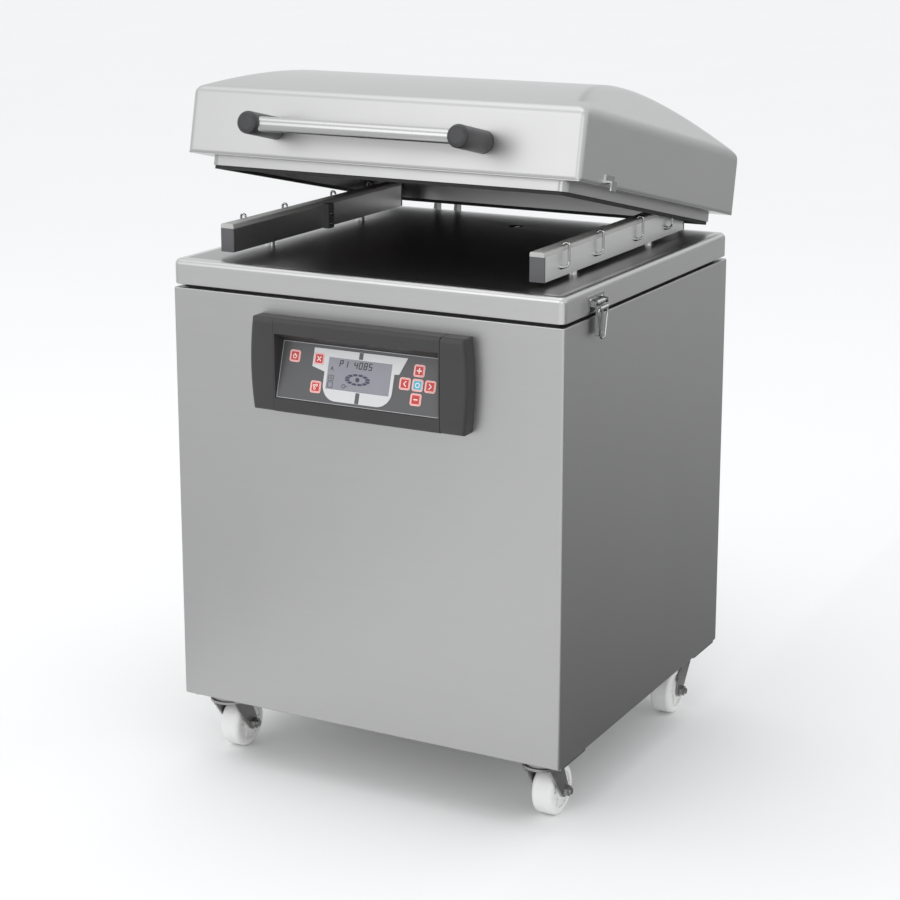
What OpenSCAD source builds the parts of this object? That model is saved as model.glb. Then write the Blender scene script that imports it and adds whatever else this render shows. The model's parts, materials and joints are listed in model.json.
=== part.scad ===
// Chamber vacuum packing machine on casters: a sheet-steel cabinet with the pump inside, a work plate
// with two lifting seal bars, and a domed lid on a rear hinge. Millimetres, front towards -Y, floor at z 0.

/* [Cabinet] */
// Width of the cabinet
cab_w = 660; // [560:5:800]
// Depth of the cabinet
cab_d = 624; // [560:2:760]
// Height of the cabinet above its bottom edge
cab_h = 660; // [560:5:800]
// Thickness of the cabinet's sheet steel
sheet_t = 1.5; // [1:0.25:2.5]
// Radius of the two upright front corners
corner_r = 4; // [3:0.5:10]
// Thickness of the bottom pan
pan_t = 3; // [2:0.5:5]
// Height of the bottom pan's upturned rim
pan_rim_h = 30; // [15:5:60]
// Width of the flange that the cabinet's top edge turns in
top_flange = 12; // [8:1:18]
// Height of the frame that carries the work plate
deck_h = 60; // [40:5:80]
// Width of that frame's bars
deck_bar = 20; // [15:1:30]

/* [Work plate] */
// Gap between the cabinet's top edge and the work plate's skirt
plate_gap = 5; // [3:0.5:12]
// Height of the work plate with its skirt
plate_h = 39; // [30:1:60]
// Thickness of the work plate
plate_t = 4; // [3:0.5:8]
// Thickness of the work plate's skirt
skirt_t = 3; // [2:0.5:5]
// Radius of the work plate's upright corners
plate_r = 10; // [6:1:25]
// Radius of the suction port in the work plate
port_r = 13; // [8:1:20]
// Distance of the suction port behind the middle
port_y = 200; // [150:5:230]

/* [Seal bars] */
// Length of a seal bar
bar_len = 525; // [400:5:540]
// Width of a seal bar
bar_w = 23; // [18:1:30]
// Height of a seal bar with its top strip
bar_h = 43.5; // [34:0.5:55]
// Height of the strip along a seal bar's top
strip_h = 7; // [5:0.5:10]
// Height of a resting seal bar above the work plate
bar_gap = 7.5; // [5:0.5:15]
// Distance of each seal bar's middle from the machine's middle
bar_x = 262.5; // [200:0.5:265]
// Thickness of a seal bar's end plates
bar_end_t = 4; // [2:0.5:8]
// Travel of the seal bars when they press
bar_lift = 10; // [4:1:10]
// Distance of a lift pin from the middle of its bar
pin_y = 140; // [80:5:180]
// Radius of a lift pin
pin_r = 6; // [4:0.5:8]
// Radius of a lift cylinder's piston
piston_r = 16.9; // [12:0.1:20]
// Radial clearance of a running fit
run_fit = 0.05; // [0.02:0.01:0.1]
// Radius of a bag clip's wire
clip_r = 1.5; // [1:0.25:2]
// How far each clip's wire stands off the bar's outer face
clip_off = 6; // [2:0.5:7]
// Distance of the inner bag clips from the middle of their bar
clip_in = 75; // [50:5:90]
// Distance of the outer bag clips from the middle of their bar
clip_out = 195; // [150:5:230]

/* [Lid] */
// How far the lid is narrower than the cabinet at each side
lid_margin_x = 0.5; // [0:0.5:6]
// How far the lid is shorter than the cabinet at each end
lid_margin_y = 2; // [0:0.5:6]
// Height of the lid's upright walls
lid_wall_h = 100; // [70:1:140]
// Rise of the lid's arched roof above its walls
lid_rise = 64; // [30:1:90]
// Run of the sloping roof ends for each unit of rise
hip_slope = 1.05; // [0.6:0.05:1.6]
// Thickness of the lid's wall
lid_t = 2; // [1.5:0.25:4]
// Width of the cut that takes off the lid's upright corners
lid_corner = 4; // [2:0.5:4]
// Distance of the rim inside the lid's side faces
rim_in_x = 30; // [22:1:34]
// Distance of the rim inside the lid's front and rear faces
rim_in_y = 21; // [15:1:24]
// How far the rim stands below the lid's edge
rim_drop = 15; // [10:1:25]
// Width of the rim
rim_w = 13; // [10:1:14]
// Height of the rim inside the lid
rim_up = 24; // [12:1:40]
// Width of the lid's gasket
gasket_w = 8; // [6:0.5:9]
// How far the gasket stands below the rim
gasket_proud = 5; // [1:0.5:5]
// Gap left under the gasket when the lid is down
seal_clear = 0.4; // [0.3:0.1:1]
// Angle at which the lid stands open
open_angle = 12.5; // [5:0.5:30]
// Gap between a seal bar and the silicone above it with the lid down
press_gap = 11; // [10.5:0.5:16]

/* [Hinge] */
// Distance of the hinge shaft behind the lid's rear face
hinge_back = 27.5; // [24:0.5:40]
// Distance of the hinge shaft below the top of the work plate
hinge_drop = 108; // [80:1:140]
// Radius of the hinge shaft
shaft_r = 8; // [6:0.5:10]
// Distance of each lid arm from the machine's middle
arm_x = 211; // [160:1:230]
// Width of a lid arm
arm_w = 46; // [36:1:56]
// Thickness of the arm's and the bracket's plates
arm_t = 6; // [4:0.5:8]
// Radius of a hinge spring's wire
spring_wire_r = 2.5; // [1.5:0.25:3]
// Number of turns in a hinge spring
spring_turns = 14; // [8:1:18]

/* [Handle] */
// Height of the handle above the lid's edge
handle_z = 45; // [35:1:70]
// Distance between the handle's posts
handle_span = 348; // [250:2:420]
// Length of a handle post
post_len = 85; // [60:1:110]
// Radius of a handle post
post_r = 17; // [14:0.5:20]
// Distance of the tube's axis from the lid's front face
tube_off = 65; // [45:1:66]
// Radius of the handle's tube
tube_r = 11; // [8:0.5:13]

/* [Control panel] */
// Width of the control panel at its widest
panel_w = 366; // [350:2:440]
// Distance of the control panel's middle to the right of the machine's middle
panel_x = 8; // [-60:1:60]
// Height of the control panel
panel_h = 142; // [136:1:160]
// Depth of the control panel in front of the cabinet
panel_out = 30; // [26:1:45]
// Distance of the panel's top below the cabinet's top edge
panel_drop = 25; // [15:1:60]
// Half width of the panel's middle section
panel_mid = 140; // [139:1:150]
// Height of the sill under the keypad
sill_h = 22; // [16:1:22]
// Length of the keypad up its slope
pad_len = 87; // [86:0.5:92]
// Lean of the keypad from upright
pad_tilt = 16.5; // [8:0.5:20]
// Width of a key
key_w = 15; // [10:0.2:15]
// Gap round a key
key_gap = 0.4; // [0.3:0.1:0.8]
// How far a key stands out of the keypad
key_proud = 0.7; // [0.5:0.1:1.5]
// Travel of a key
key_travel = 0.5; // [0.3:0.1:0.8]

/* [Casters] */
// Diameter of a caster's wheel
wheel_d = 80; // [60:1:100]
// Width of a caster's wheel
wheel_w = 34; // [22:1:40]
// Room between the wheel and the caster's plate
caster_head = 28; // [24:1:40]
// Distance of a caster's swivel from the cabinet's faces
caster_inset = 51; // [50:1:90]
// Distance of the wheel's axle from the swivel
caster_trail = 33; // [20:1:40]
// Radius of the wheel's axle
axle_r = 5; // [4:0.5:6]

/* [Latch] */
// Distance of the latches behind the cabinet's front face
latch_back = 102; // [80:1:160]
// Width of a latch's base
latch_w = 56; // [50:1:70]

/* [Hidden] */
$fn = 48;
eps = 0.01;

caster_h = wheel_d + caster_head;
cab_top = caster_h + cab_h;
plate_z = cab_top + plate_gap + plate_h;
in_w = cab_w - 2 * sheet_t;
in_d = cab_d - 2 * sheet_t;

deck_clear = 2;
deck_w = in_w - 2 * (top_flange + deck_clear);
deck_d = in_d - 2 * (top_flange + deck_clear);
deck_z = plate_z - plate_t - deck_h;

bar_z = plate_z + bar_gap;
bar_top = bar_z + bar_h;
bush_r = pin_r + 5;
cyl_r = piston_r + 4;
cyl_h = bar_lift + 36;
piston_h = 8;

lid_w = cab_w - 2 * lid_margin_x;
lid_d = cab_d - 2 * lid_margin_y;
lid_z = plate_z + rim_drop + gasket_proud + seal_clear;
arch_lift = 2;
arch_sag = lid_rise - arch_lift;
arch_r = (lid_d * lid_d / 4 + arch_sag * arch_sag) / (2 * arch_sag);
silicone_h = 8;
silicone_w = 12;
press_z = bar_top + press_gap;
press_h = 24;
press_w = 18;

hinge_y = lid_d / 2 + hinge_back;
hinge_z = plate_z - hinge_drop;
eye_r = shaft_r + 6;
bracket_gap = 2;
spring_r = shaft_r + spring_wire_r + 4;
spring_x = arm_x - arm_w / 2 - bracket_gap - arm_t - 8;

post_x = handle_span / 2;
tube_end = 8;

panel_top = cab_top - panel_drop;
panel_bot = panel_top - panel_h;
pad_w = 2 * (panel_mid - 2);
pad_t = 1.5;
pad_out = panel_out - 2;
pad_z = panel_bot + sill_h;
pad_y = -cab_d / 2 - pad_out;
bed_t = 3;
key_pitch = 21;
key_h = 3;
cross_x = 97;
cross_v = 44;
soft_x = 72;
power_x = 114;
lcd_x = -1.5;
lcd_v = 46;
lcd_w = 107;
lcd_h = 47;
window_w = 2 * (panel_mid - 10);
key_places = [[-power_x, 65], [-soft_x, 65], [-soft_x, cross_v - key_pitch],
    [cross_x, cross_v + key_pitch], [cross_x - key_pitch, cross_v], [cross_x, cross_v],
    [cross_x + key_pitch, cross_v], [cross_x, cross_v - key_pitch]];

inlet_x = -200;
inlet_z = 90;
inlet_w = 32;
inlet_h = 25;

pump_x = 70;
pump_y = 20;
pump_r = 75;
pump_len = 200;
foot_h = 12;
motor_r = 68;
motor_len = 230;
floor_z = caster_h + pan_t;
pump_z = floor_z + foot_h + pump_r;
pump_in_x = pump_x + pump_len / 2 - 45;
hose_r = 17;
hose_top = plate_z - plate_t;

wheel_z = wheel_d / 2;
caster_x = cab_w / 2 - caster_inset;
caster_y = cab_d / 2 - caster_inset;
top_plate_t = 3;
race_h = 11;
race_r = 28;
crown_r = 31;
crown_t = 4;
crown_z = caster_h - top_plate_t - race_h - crown_t - 0.6;
kingpin_r = 6;
leg_t = 3.5;
leg_gap = 2;
leg_x = wheel_w / 2 + leg_gap;
nut_h = 8;
nut_r = 9;

latch_y = -cab_d / 2 + latch_back;
latch_h = 22;
latch_t = 2;
latch_z = plate_z - 12 - latch_h;
lever_x = cab_w / 2 + 7;
lever_z = latch_z + 11.5;
lever_len = 48;
lever_w = 26;
lever_pin_r = 2;
bail_x = lever_x + 6;
bail_z = lever_z - 8;
bail_r = 1.5;
bail_len = 44;
bail_half = 15.5;

// Where a point of the closed lid comes to lie with the lid open.
function opened_y(y, z) = hinge_y + (y - hinge_y) * cos(open_angle) + (z - hinge_z) * sin(open_angle);
front_reach = max(cab_d / 2 + panel_out,
    -opened_y(-lid_d / 2 - post_len, lid_z + handle_z - post_r));
rear_reach = max(hinge_y + eye_r, opened_y(lid_d / 2, lid_z + lid_wall_h + arch_lift));
// Puts the origin under the middle of the whole machine.
shift_y = (front_reach - rear_reach) / 2;

// ---- shared shapes ----

module placed() { translate([0, shift_y, 0]) children(); }

module opened() {
    placed() translate([0, hinge_y, hinge_z]) rotate([-open_angle, 0, 0])
        translate([0, -hinge_y, -hinge_z]) children();
}

module both_sides() {
    children();
    mirror([1, 0, 0]) children();
}

module slab(w, d, h) { translate([-w / 2, -d / 2, 0]) cube([w, d, h]); }

module round_rect(w, d, r) {
    square([w - 2 * r, d], center = true);
    square([w, d - 2 * r], center = true);
    for (sx = [-1, 1], sy = [-1, 1]) translate([sx * (w / 2 - r), sy * (d / 2 - r)]) circle(r);
}

module round_slab(w, d, h, r) { linear_extrude(h) round_rect(w, d, r); }

module rect_ring(w, d, wall, h) {
    difference() {
        slab(w, d, h);
        translate([0, 0, -1]) slab(w - 2 * wall, d - 2 * wall, h + 2);
    }
}

module round_ring(w, d, wall, h, r) {
    difference() {
        round_slab(w, d, h, r);
        translate([0, 0, -1]) round_slab(w - 2 * wall, d - 2 * wall, h + 2, max(r - wall, 1));
    }
}

// A cylinder along X whose low end is at the origin.
module rod_x(r, len) { rotate([0, 90, 0]) cylinder(r = r, h = len); }

// A cylinder along Y whose low end is at the origin.
module rod_y(r, len) { rotate([-90, 0, 0]) cylinder(r = r, h = len); }

// A plate of thickness t from x 0, whose outline is given as [y, z].
module cheek(t) { rotate([90, 0, 90]) linear_extrude(t) children(); }

// ---- cabinet ----

module base_pan() {
    rim_t = 2;
    color("silver") translate([0, 0, caster_h]) difference() {
        union() {
            round_slab(in_w, in_d, pan_t, corner_r - sheet_t + 0.7);
            round_ring(in_w, in_d, rim_t, pan_rim_h, corner_r - sheet_t + 0.7);
        }
        for (sx = [-1, 1], sy = [-1, 1], hx = [-40, 40], hy = [-30, 30])
            translate([sx * caster_x + hx, sy * caster_y + hy, -1]) cylinder(r = 4.5, h = pan_t + 2);
    }
}

module cabinet_outline(inset) {
    r = corner_r - inset;
    w = cab_w - 2 * inset;
    back = cab_d / 2 + (inset > 0 ? 1 : 0);
    front = -cab_d / 2 + inset;
    translate([-w / 2, front + r]) square([w, back - front - r]);
    translate([-w / 2 + r, front]) square([w - 2 * r, r + 1]);
    for (sx = [-1, 1]) translate([sx * (w / 2 - r), front + r]) circle(r);
}

module cabinet_wrap() {
    color("silver") difference() {
        union() {
            translate([0, 0, caster_h]) linear_extrude(cab_h) difference() {
                cabinet_outline(0);
                cabinet_outline(sheet_t);
            }
            translate([0, 0, cab_top - sheet_t]) linear_extrude(sheet_t) difference() {
                translate([0, -sheet_t / 2]) square([in_w + 1, cab_d - sheet_t - 3], center = true);
                square([in_w - 2 * top_flange, cab_d - 2 * sheet_t - 2 * top_flange], center = true);
                translate([-cab_w / 2, cab_d / 2 - 2 * top_flange]) square([cab_w, 3 * top_flange]);
            }
        }
        translate([panel_x - window_w / 2, -cab_d / 2 - 1, pad_z - 4])
            cube([window_w, sheet_t + 2, pad_len + 8]);
    }
}

module rear_panel() {
    slot_w = 74;
    slot_h = 5;
    slot_pitch = 13;
    rows = 12;
    color("silver") translate([0, cab_d / 2 - sheet_t, caster_h]) difference() {
        translate([-in_w / 2, 0, 0]) cube([in_w, sheet_t, cab_h]);
        for (col = [0, 1], row = [0 : rows - 1])
            translate([in_w / 6 + col * (slot_w + 14) - slot_w / 2, -1, 120 + row * slot_pitch])
                cube([slot_w, sheet_t + 2, slot_h]);
        translate([inlet_x - inlet_w / 2, -1, inlet_z - inlet_h / 2])
            cube([inlet_w, sheet_t + 2, inlet_h]);
    }
}

module mains_inlet() {
    lip = 6;
    pin_w = 8;
    color("dimgray") translate([inlet_x, cab_d / 2, caster_h + inlet_z]) difference() {
        union() {
            translate([-inlet_w / 2 - lip, 0, -inlet_h / 2 - lip])
                cube([inlet_w + 2 * lip, 3, inlet_h + 2 * lip]);
            translate([-inlet_w / 2, -32, -inlet_h / 2]) cube([inlet_w, 32 + eps, inlet_h]);
        }
        difference() {
            translate([-inlet_w / 2 + 3, -22, -inlet_h / 2 + 3]) cube([inlet_w - 6, 30, inlet_h - 6]);
            for (pin = [[-pin_w, -3], [pin_w, -3], [0, 4]])
                translate([pin[0] - 1, -23, pin[1] - 2.5]) cube([2, 20, 5]);
        }
    }
}

module deck_frame() {
    tab = (in_w - deck_w) / 2;
    color("gray") {
        translate([0, 0, deck_z]) rect_ring(deck_w, deck_d, deck_bar, deck_h);
        both_sides() for (sy = [-1, 1])
            translate([deck_w / 2 - eps, sy * deck_d / 3 - 20, deck_z]) cube([tab, 40, 6]);
    }
}

module work_plate() {
    skirt_z = plate_z - plate_h;
    color("gainsboro") difference() {
        translate([0, 0, skirt_z]) round_slab(cab_w, cab_d, plate_h, plate_r);
        translate([0, 0, skirt_z - 1])
            round_slab(cab_w - 2 * skirt_t, cab_d - 2 * skirt_t, plate_h - plate_t + 1, plate_r - skirt_t);
        for (sx = [-1, 1], sy = [-1, 1])
            translate([sx * bar_x, sy * pin_y, plate_z - plate_t - 1])
                cylinder(r = bush_r, h = plate_t + 2);
        translate([0, port_y, plate_z - plate_t - 1]) cylinder(r = port_r, h = plate_t + 2);
    }
}

// ---- control panel ----

// Puts things on the keypad: x across, y up its slope, z out of it.
module on_pad() { translate([panel_x, pad_y, pad_z]) rotate([90 - pad_tilt, 0, 0]) children(); }

function pad_point(v, w) = [pad_out - v * sin(pad_tilt) + w * cos(pad_tilt),
    pad_z + v * cos(pad_tilt) + w * sin(pad_tilt)];

// The panel's outer side view: [distance in front of the cabinet, z].
module panel_side(inset) {
    r = 6;
    hull_h = panel_h - 2 * inset;
    translate([inset == 0 ? 0 : -1, panel_bot + inset]) {
        square([panel_out - inset - r, hull_h]);
        translate([0, r]) square([panel_out - inset, hull_h - 2 * r]);
        for (z = [r, hull_h - r]) translate([panel_out - inset - r, z]) circle(r);
    }
}

module panel_prism(x0, x1, inset) {
    translate([x0, -cab_d / 2, 0]) rotate([90, 0, 90]) linear_extrude(x1 - x0)
        mirror([1, 0]) panel_side(inset);
}

module control_bezel() {
    wall = 3;
    foot = pad_point(0, -pad_t);
    head = pad_point(pad_len, -pad_t);
    foot_in = pad_point(0, -pad_t - bed_t);
    head_in = pad_point(pad_len + 4, -pad_t - bed_t);
    color("dimgray") translate([panel_x, 0, 0]) difference() {
        union() {
            difference() {
                panel_prism(-panel_mid, panel_mid, 0);
                panel_prism(-panel_mid + wall, panel_mid - wall, wall);
            }
            translate([-panel_mid, -cab_d / 2, 0]) rotate([90, 0, 90]) linear_extrude(2 * panel_mid)
                mirror([1, 0]) polygon([foot_in, foot, [panel_out - 1, foot[1] - 1],
                    [panel_out - 1, panel_bot + 4], [panel_out - 5, panel_bot + 4]]);
            translate([-panel_mid + eps, -cab_d / 2, 0]) rotate([90, 0, 90])
                linear_extrude(2 * panel_mid - 2 * eps) mirror([1, 0])
                polygon([foot_in, foot, head, [panel_out - 1, panel_top - 22],
                    [panel_out - 1, panel_top - 19], head_in]);
        }
        translate([-pad_w / 2, -cab_d / 2, 0]) rotate([90, 0, 90]) linear_extrude(pad_w)
            mirror([1, 0]) polygon([foot, head, [panel_out + 1, panel_top - 22],
                [panel_out + 1, foot[1] + 0.2]]);
        translate([-panel_x, 0, 0]) on_pad() for (key = key_places)
            translate([key[0], key[1], -pad_t - bed_t - 2])
                slab(key_w + 2 * key_gap, key_w + 2 * key_gap, bed_t + 4);
        translate([-panel_mid - 1, -cab_d / 2, panel_bot - 1])
            cube([2 * panel_mid + 2, 40, pad_z - 4 - panel_bot + 1]);
        translate([-panel_mid - 1, -cab_d / 2, pad_z + pad_len + 4])
            cube([2 * panel_mid + 2, 40, panel_h]);
        translate([-panel_mid - 1, -cab_d / 2, panel_bot - 1])
            cube([panel_mid + 1 - window_w / 2 + 0.5, 40, panel_h + 2]);
        translate([window_w / 2 - 0.5, -cab_d / 2, panel_bot - 1])
            cube([panel_mid + 1 - window_w / 2, 40, panel_h + 2]);
    }
}

module bezel_end_caps() {
    sag = 5;
    bow_r = (panel_h * panel_h / 4 + sag * sag) / (2 * sag);
    color("dimgray") translate([panel_x, 0, 0]) both_sides() intersection() {
        panel_prism(panel_mid + 0.2, panel_w / 2, 0);
        translate([panel_w / 2 - bow_r, -cab_d / 2 + 1, panel_bot + panel_h / 2])
            rotate([90, 0, 0]) cylinder(r = bow_r, h = panel_out + 4, $fn = 96);
    }
}

module keypad_panel() {
    color("slategray") on_pad() difference() {
        translate([-pad_w / 2, 0, -pad_t]) cube([pad_w, pad_len, pad_t]);
        for (key = key_places)
            translate([key[0], key[1], -pad_t - 1])
                slab(key_w + 2 * key_gap, key_w + 2 * key_gap, pad_t + 2);
        translate([lcd_x, lcd_v, -pad_t - 1]) slab(lcd_w - 4, lcd_h - 4, pad_t + 2);
    }
}

module display_surround() {
    left = lcd_x - lcd_w / 2 - 5;
    right = lcd_x + lcd_w / 2 + 5;
    r = 24;
    top = pad_len - 6;
    low = 5;
    hole = key_w + 2 * key_gap + 1;
    color("gainsboro") on_pad() linear_extrude(0.8) difference() {
        union() {
            polygon([[left, low + r], [left + r, low], [right - r, low], [right, low + r],
                [right, top - 26], [right + 8, top - 25], [right + 19, top],
                [-soft_x - 10, top], [-soft_x - 10, top - 28], [left, top - 34]]);
            translate([left + r, low + r]) circle(r);
            translate([right - r, low + r]) circle(r);
        }
        translate([lcd_x, lcd_v]) square([lcd_w, lcd_h], center = true);
        translate([-soft_x, 65]) square([hole, hole], center = true);
    }
}

module display_window() {
    color("lightsteelblue") on_pad() translate([lcd_x, lcd_v, 0]) slab(lcd_w - 0.2, lcd_h - 0.2, 0.6);
}

module control_board() {
    color("green") on_pad() translate([0, 0, -pad_t - bed_t - 12]) {
        translate([-window_w / 2 + 8, 3, 0]) cube([window_w - 16, pad_len - 8, 1.6]);
        translate([lcd_x, lcd_v, 1.6]) slab(lcd_w - 6, lcd_h - 6, 6);
        for (x = [-90, -70, 90]) translate([x, 14, -9]) cube([14, 22, 9]);
        for (x = [-116, 116], v = [12, 76]) translate([x, v, 1.6]) cylinder(r = 3, h = 10.4);
    }
}

module key(i) {
    p = key_places[i];
    lower = key_h - key_proud;
    color(i == 5 ? "deepskyblue" : "firebrick") placed() on_pad()
        translate([p[0], p[1], -lower]) round_slab(key_w, key_w, key_h, 2);
}

// ---- things inside the cabinet ----

module vacuum_pump() {
    fins = 7;
    color("dimgray") translate([pump_x, pump_y, 0]) difference() {
        union() {
            translate([0, 0, pump_z]) rod_x(pump_r, pump_len);
            translate([8, -pump_r, pump_z]) cube([pump_len - 16, 2 * pump_r, pump_r + 40]);
            for (i = [0 : fins - 1])
                translate([16 + i * (pump_len - 40) / fins, -pump_r - 7, pump_z + 6])
                    cube([6, 2 * pump_r + 14, pump_r + 18]);
            for (x = [20, pump_len - 50], sy = [-1, 1])
                translate([x, sy * 50 - 20, floor_z]) cube([30, 40, pump_r + foot_h - 20]);
            translate([pump_len / 2 - 45, 0, pump_z + pump_r + 40]) cylinder(r = 26, h = 14);
        }
        translate([pump_len / 2 - 45, 0, pump_z + pump_r + 20]) cylinder(r = hose_r - 3, h = 40);
        translate([pump_len - 24, -pump_r - 20, pump_z - 34]) rod_y(12, 26);
    }
}

module pump_motor() {
    rings = 12;
    color("slategray") translate([pump_x - motor_len, pump_y, 0]) union() {
        translate([0, 0, pump_z]) rod_x(motor_r - 6, motor_len);
        for (i = [0 : rings - 1])
            translate([14 + i * (motor_len - 70) / rings, 0, pump_z]) rod_x(motor_r, 5);
        translate([0, 0, pump_z]) rod_x(motor_r, 40 - 28);
        translate([motor_len - 22, 0, pump_z]) rod_x(motor_r + 4, 22);
        translate([60, -45, pump_z + motor_r - 14]) cube([90, 90, 48]);
        for (x = [30, motor_len - 60]) translate([x, -55, floor_z]) cube([30, 110, 42]);
    }
}

// The hose rises from the pump, runs back in the cabinet and rises again to the suction port.
module vacuum_hose() {
    low = pump_z + pump_r + 54;
    mid = hose_top - 150;
    run = port_y - pump_y;
    reach = sqrt(run * run + pump_in_x * pump_in_x);
    turn = atan2(run, -pump_in_x);
    color("black") translate([pump_in_x, pump_y, 0]) rotate([0, 0, turn]) difference() {
        hose_run(low, mid, reach, hose_r);
        translate([0, 0, -1]) hose_run(low, mid + 1, reach, hose_r - 4);
        translate([reach, 0, hose_top - 4]) cylinder(r = hose_r - 4, h = 8);
    }
}

module hose_run(low, mid, reach, r) {
    translate([0, 0, low]) cylinder(r = r, h = mid - low);
    translate([0, 0, mid]) sphere(r = r);
    translate([0, 0, mid]) rod_x(r, reach);
    translate([reach, 0, mid]) sphere(r = r);
    translate([reach, 0, mid]) cylinder(r = r, h = hose_top - mid);
}

module valve_block() {
    block_z = deck_z - 70;
    color("darkgray") translate([-deck_w / 2 + 30, -150, block_z]) union() {
        cube([60, 180, 40]);
        for (i = [0 : 3]) translate([15, 8 + i * 44, 40 - eps]) cube([30, 32, 41]);
        for (i = [0 : 3]) translate([60 - eps, 24 + i * 44, 20]) rod_x(6, 16);
        translate([-30 - top_flange - deck_clear, 60, 6]) cube([30 + top_flange + deck_clear + eps, 60, 6]);
    }
}

module transformer() {
    color("peru") translate([-in_w / 2 + 60, -cab_d / 2 + 60, floor_z]) union() {
        cube([130, 100, 8]);
        translate([5, 14, 8 - eps]) cube([120, 72, 22]);
        translate([5, 14, 90]) cube([120, 72, 22]);
        for (x = [5, 51, 103]) translate([x, 14, 20]) cube([22, 72, 80]);
        translate([42, 4, 30 - eps]) cube([40, 92, 60 + 2 * eps]);
    }
}

module lift_cylinders() {
    top = plate_z - plate_t;
    color("silver") for (sx = [-1, 1], sy = [-1, 1]) translate([sx * bar_x, sy * pin_y, 0]) difference() {
        union() {
            translate([0, 0, top - cyl_h]) cylinder(r = cyl_r, h = cyl_h);
            translate([0, 0, top - eps]) cylinder(r = bush_r - 0.1, h = plate_t + eps);
        }
        translate([0, 0, top - cyl_h - 1]) cylinder(r = piston_r + 2 * run_fit, h = cyl_h - 8);
        translate([0, 0, top - 20]) cylinder(r = pin_r + run_fit, h = 40);
    }
}

// ---- seal bars, drawn for the right-hand side ----

module seal_bar() {
    pin_low = plate_z - plate_t - cyl_h + 4;
    inner_len = bar_len - 2 * bar_end_t;
    color("lightgray") placed() {
        difference() {
            translate([bar_x, 0, bar_z]) slab(bar_w, inner_len, bar_h - strip_h);
            translate([bar_x, 0, bar_top - strip_h - 6]) slab(bar_w - 12, inner_len + 2, 7);
        }
        for (sy = [-1, 1]) translate([bar_x, sy * pin_y, 0]) {
            translate([0, 0, pin_low]) cylinder(r = piston_r, h = piston_h);
            translate([0, 0, pin_low]) cylinder(r = pin_r, h = bar_z - pin_low + eps);
        }
    }
}

module seal_strip() {
    r = 3;
    color("gainsboro") placed() translate([bar_x, bar_len / 2, bar_top - strip_h]) rotate([90, 0, 0])
        linear_extrude(bar_len) union() {
            translate([-bar_w / 2, 0]) square([bar_w, strip_h - r]);
            translate([-bar_w / 2 + r, 0]) square([bar_w - 2 * r, strip_h]);
            for (sx = [-1, 1]) translate([sx * (bar_w / 2 - r), strip_h - r]) circle(r);
        }
}

module bar_ends() {
    block_w = 10;
    block_d = 17;
    color("dimgray") placed() {
        for (sy = [-1, 1])
            translate([bar_x - bar_w / 2, sy * (bar_len - bar_end_t) / 2 - bar_end_t / 2, bar_z])
                cube([bar_w, bar_end_t, bar_h - strip_h]);
        translate([bar_x - bar_w / 2 - block_w, 0, bar_z - 1]) cube([block_w, block_d, bar_h - 3]);
    }
}

// A bent wire finger: a stud in the bar's outer face, a wire along the face, up and over the top.
module bag_clip() {
    stud_z = bar_top - 30;
    face = bar_x + bar_w / 2;
    wire_x = face + clip_r + clip_off;
    top = bar_top + 10;
    translate([face, -14, stud_z]) rod_x(3.2, clip_off + 3);
    translate([wire_x, -14, stud_z]) rod_y(clip_r, 14);
    translate([wire_x, 0, stud_z]) clip_corner();
    translate([wire_x, 0, stud_z]) cylinder(r = clip_r, h = top - stud_z);
    translate([wire_x, 0, top]) clip_corner();
    translate([wire_x - clip_off - 2, 0, top]) rod_x(clip_r, clip_off + 2);
}

module clip_corner() { sphere(r = clip_r + 0.2); }

module bag_clips() {
    color("silver") placed() for (y = [-clip_out, -clip_in, clip_in, clip_out])
        translate([0, y, 0]) bag_clip();
}

// ---- lid ----

function hip_x(z, inset) = lid_w / 2 - inset * sqrt(1 + hip_slope * hip_slope)
    - hip_slope * (z - lid_wall_h);

// The lid's filled form, made smaller all round by inset.
module lid_form(inset) {
    low = inset > 0 ? -1 : 0;
    crown = lid_wall_h + lid_rise;
    shoulder = lid_wall_h - inset * (sqrt(1 + hip_slope * hip_slope) - 1) / hip_slope;
    translate([0, 0, lid_z]) intersection() {
        translate([-lid_w / 2 - 1, 0, 0]) rotate([90, 0, 90]) linear_extrude(lid_w + 2) intersection() {
            translate([-lid_d / 2 + inset, low]) square([lid_d - 2 * inset, crown + 2]);
            translate([0, crown - arch_r]) circle(arch_r - inset, $fn = 360);
        }
        translate([0, lid_d / 2 + 1, 0]) rotate([90, 0, 0]) linear_extrude(lid_d + 2)
            polygon([[-lid_w / 2 + inset, low], [lid_w / 2 - inset, low],
                [lid_w / 2 - inset, shoulder], [hip_x(crown + 1, inset), crown + 1],
                [-hip_x(crown + 1, inset), crown + 1], [-lid_w / 2 + inset, shoulder]]);
    }
}

module lid_shell() {
    color("gainsboro") opened() difference() {
        lid_form(0);
        lid_form(lid_t);
        for (sx = [-1, 1], sy = [-1, 1]) translate([sx * lid_w / 2, sy * lid_d / 2, lid_z - 1])
            rotate([0, 0, 45]) slab(lid_corner, lid_corner, lid_wall_h + lid_rise);
    }
}

module lid_rim() {
    w = lid_w - 2 * rim_in_x;
    d = lid_d - 2 * rim_in_y;
    color("silver") opened() difference() {
        union() {
            translate([0, 0, lid_z - rim_drop]) round_ring(w, d, rim_w, rim_drop + rim_up, 14);
            translate([0, 0, lid_z]) difference() {
                slab(lid_w - 2 * lid_t, lid_d - 2 * lid_t, 2);
                translate([0, 0, -1]) round_slab(w - 2, d - 2, 4, 13);
            }
        }
        gasket_form();
    }
}

module gasket_form() {
    side = (rim_w - gasket_w) / 2;
    translate([0, 0, lid_z - rim_drop - gasket_proud])
        round_ring(lid_w - 2 * rim_in_x - 2 * side, lid_d - 2 * rim_in_y - 2 * side, gasket_w,
            gasket_proud + 5, 14 - side);
}

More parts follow.
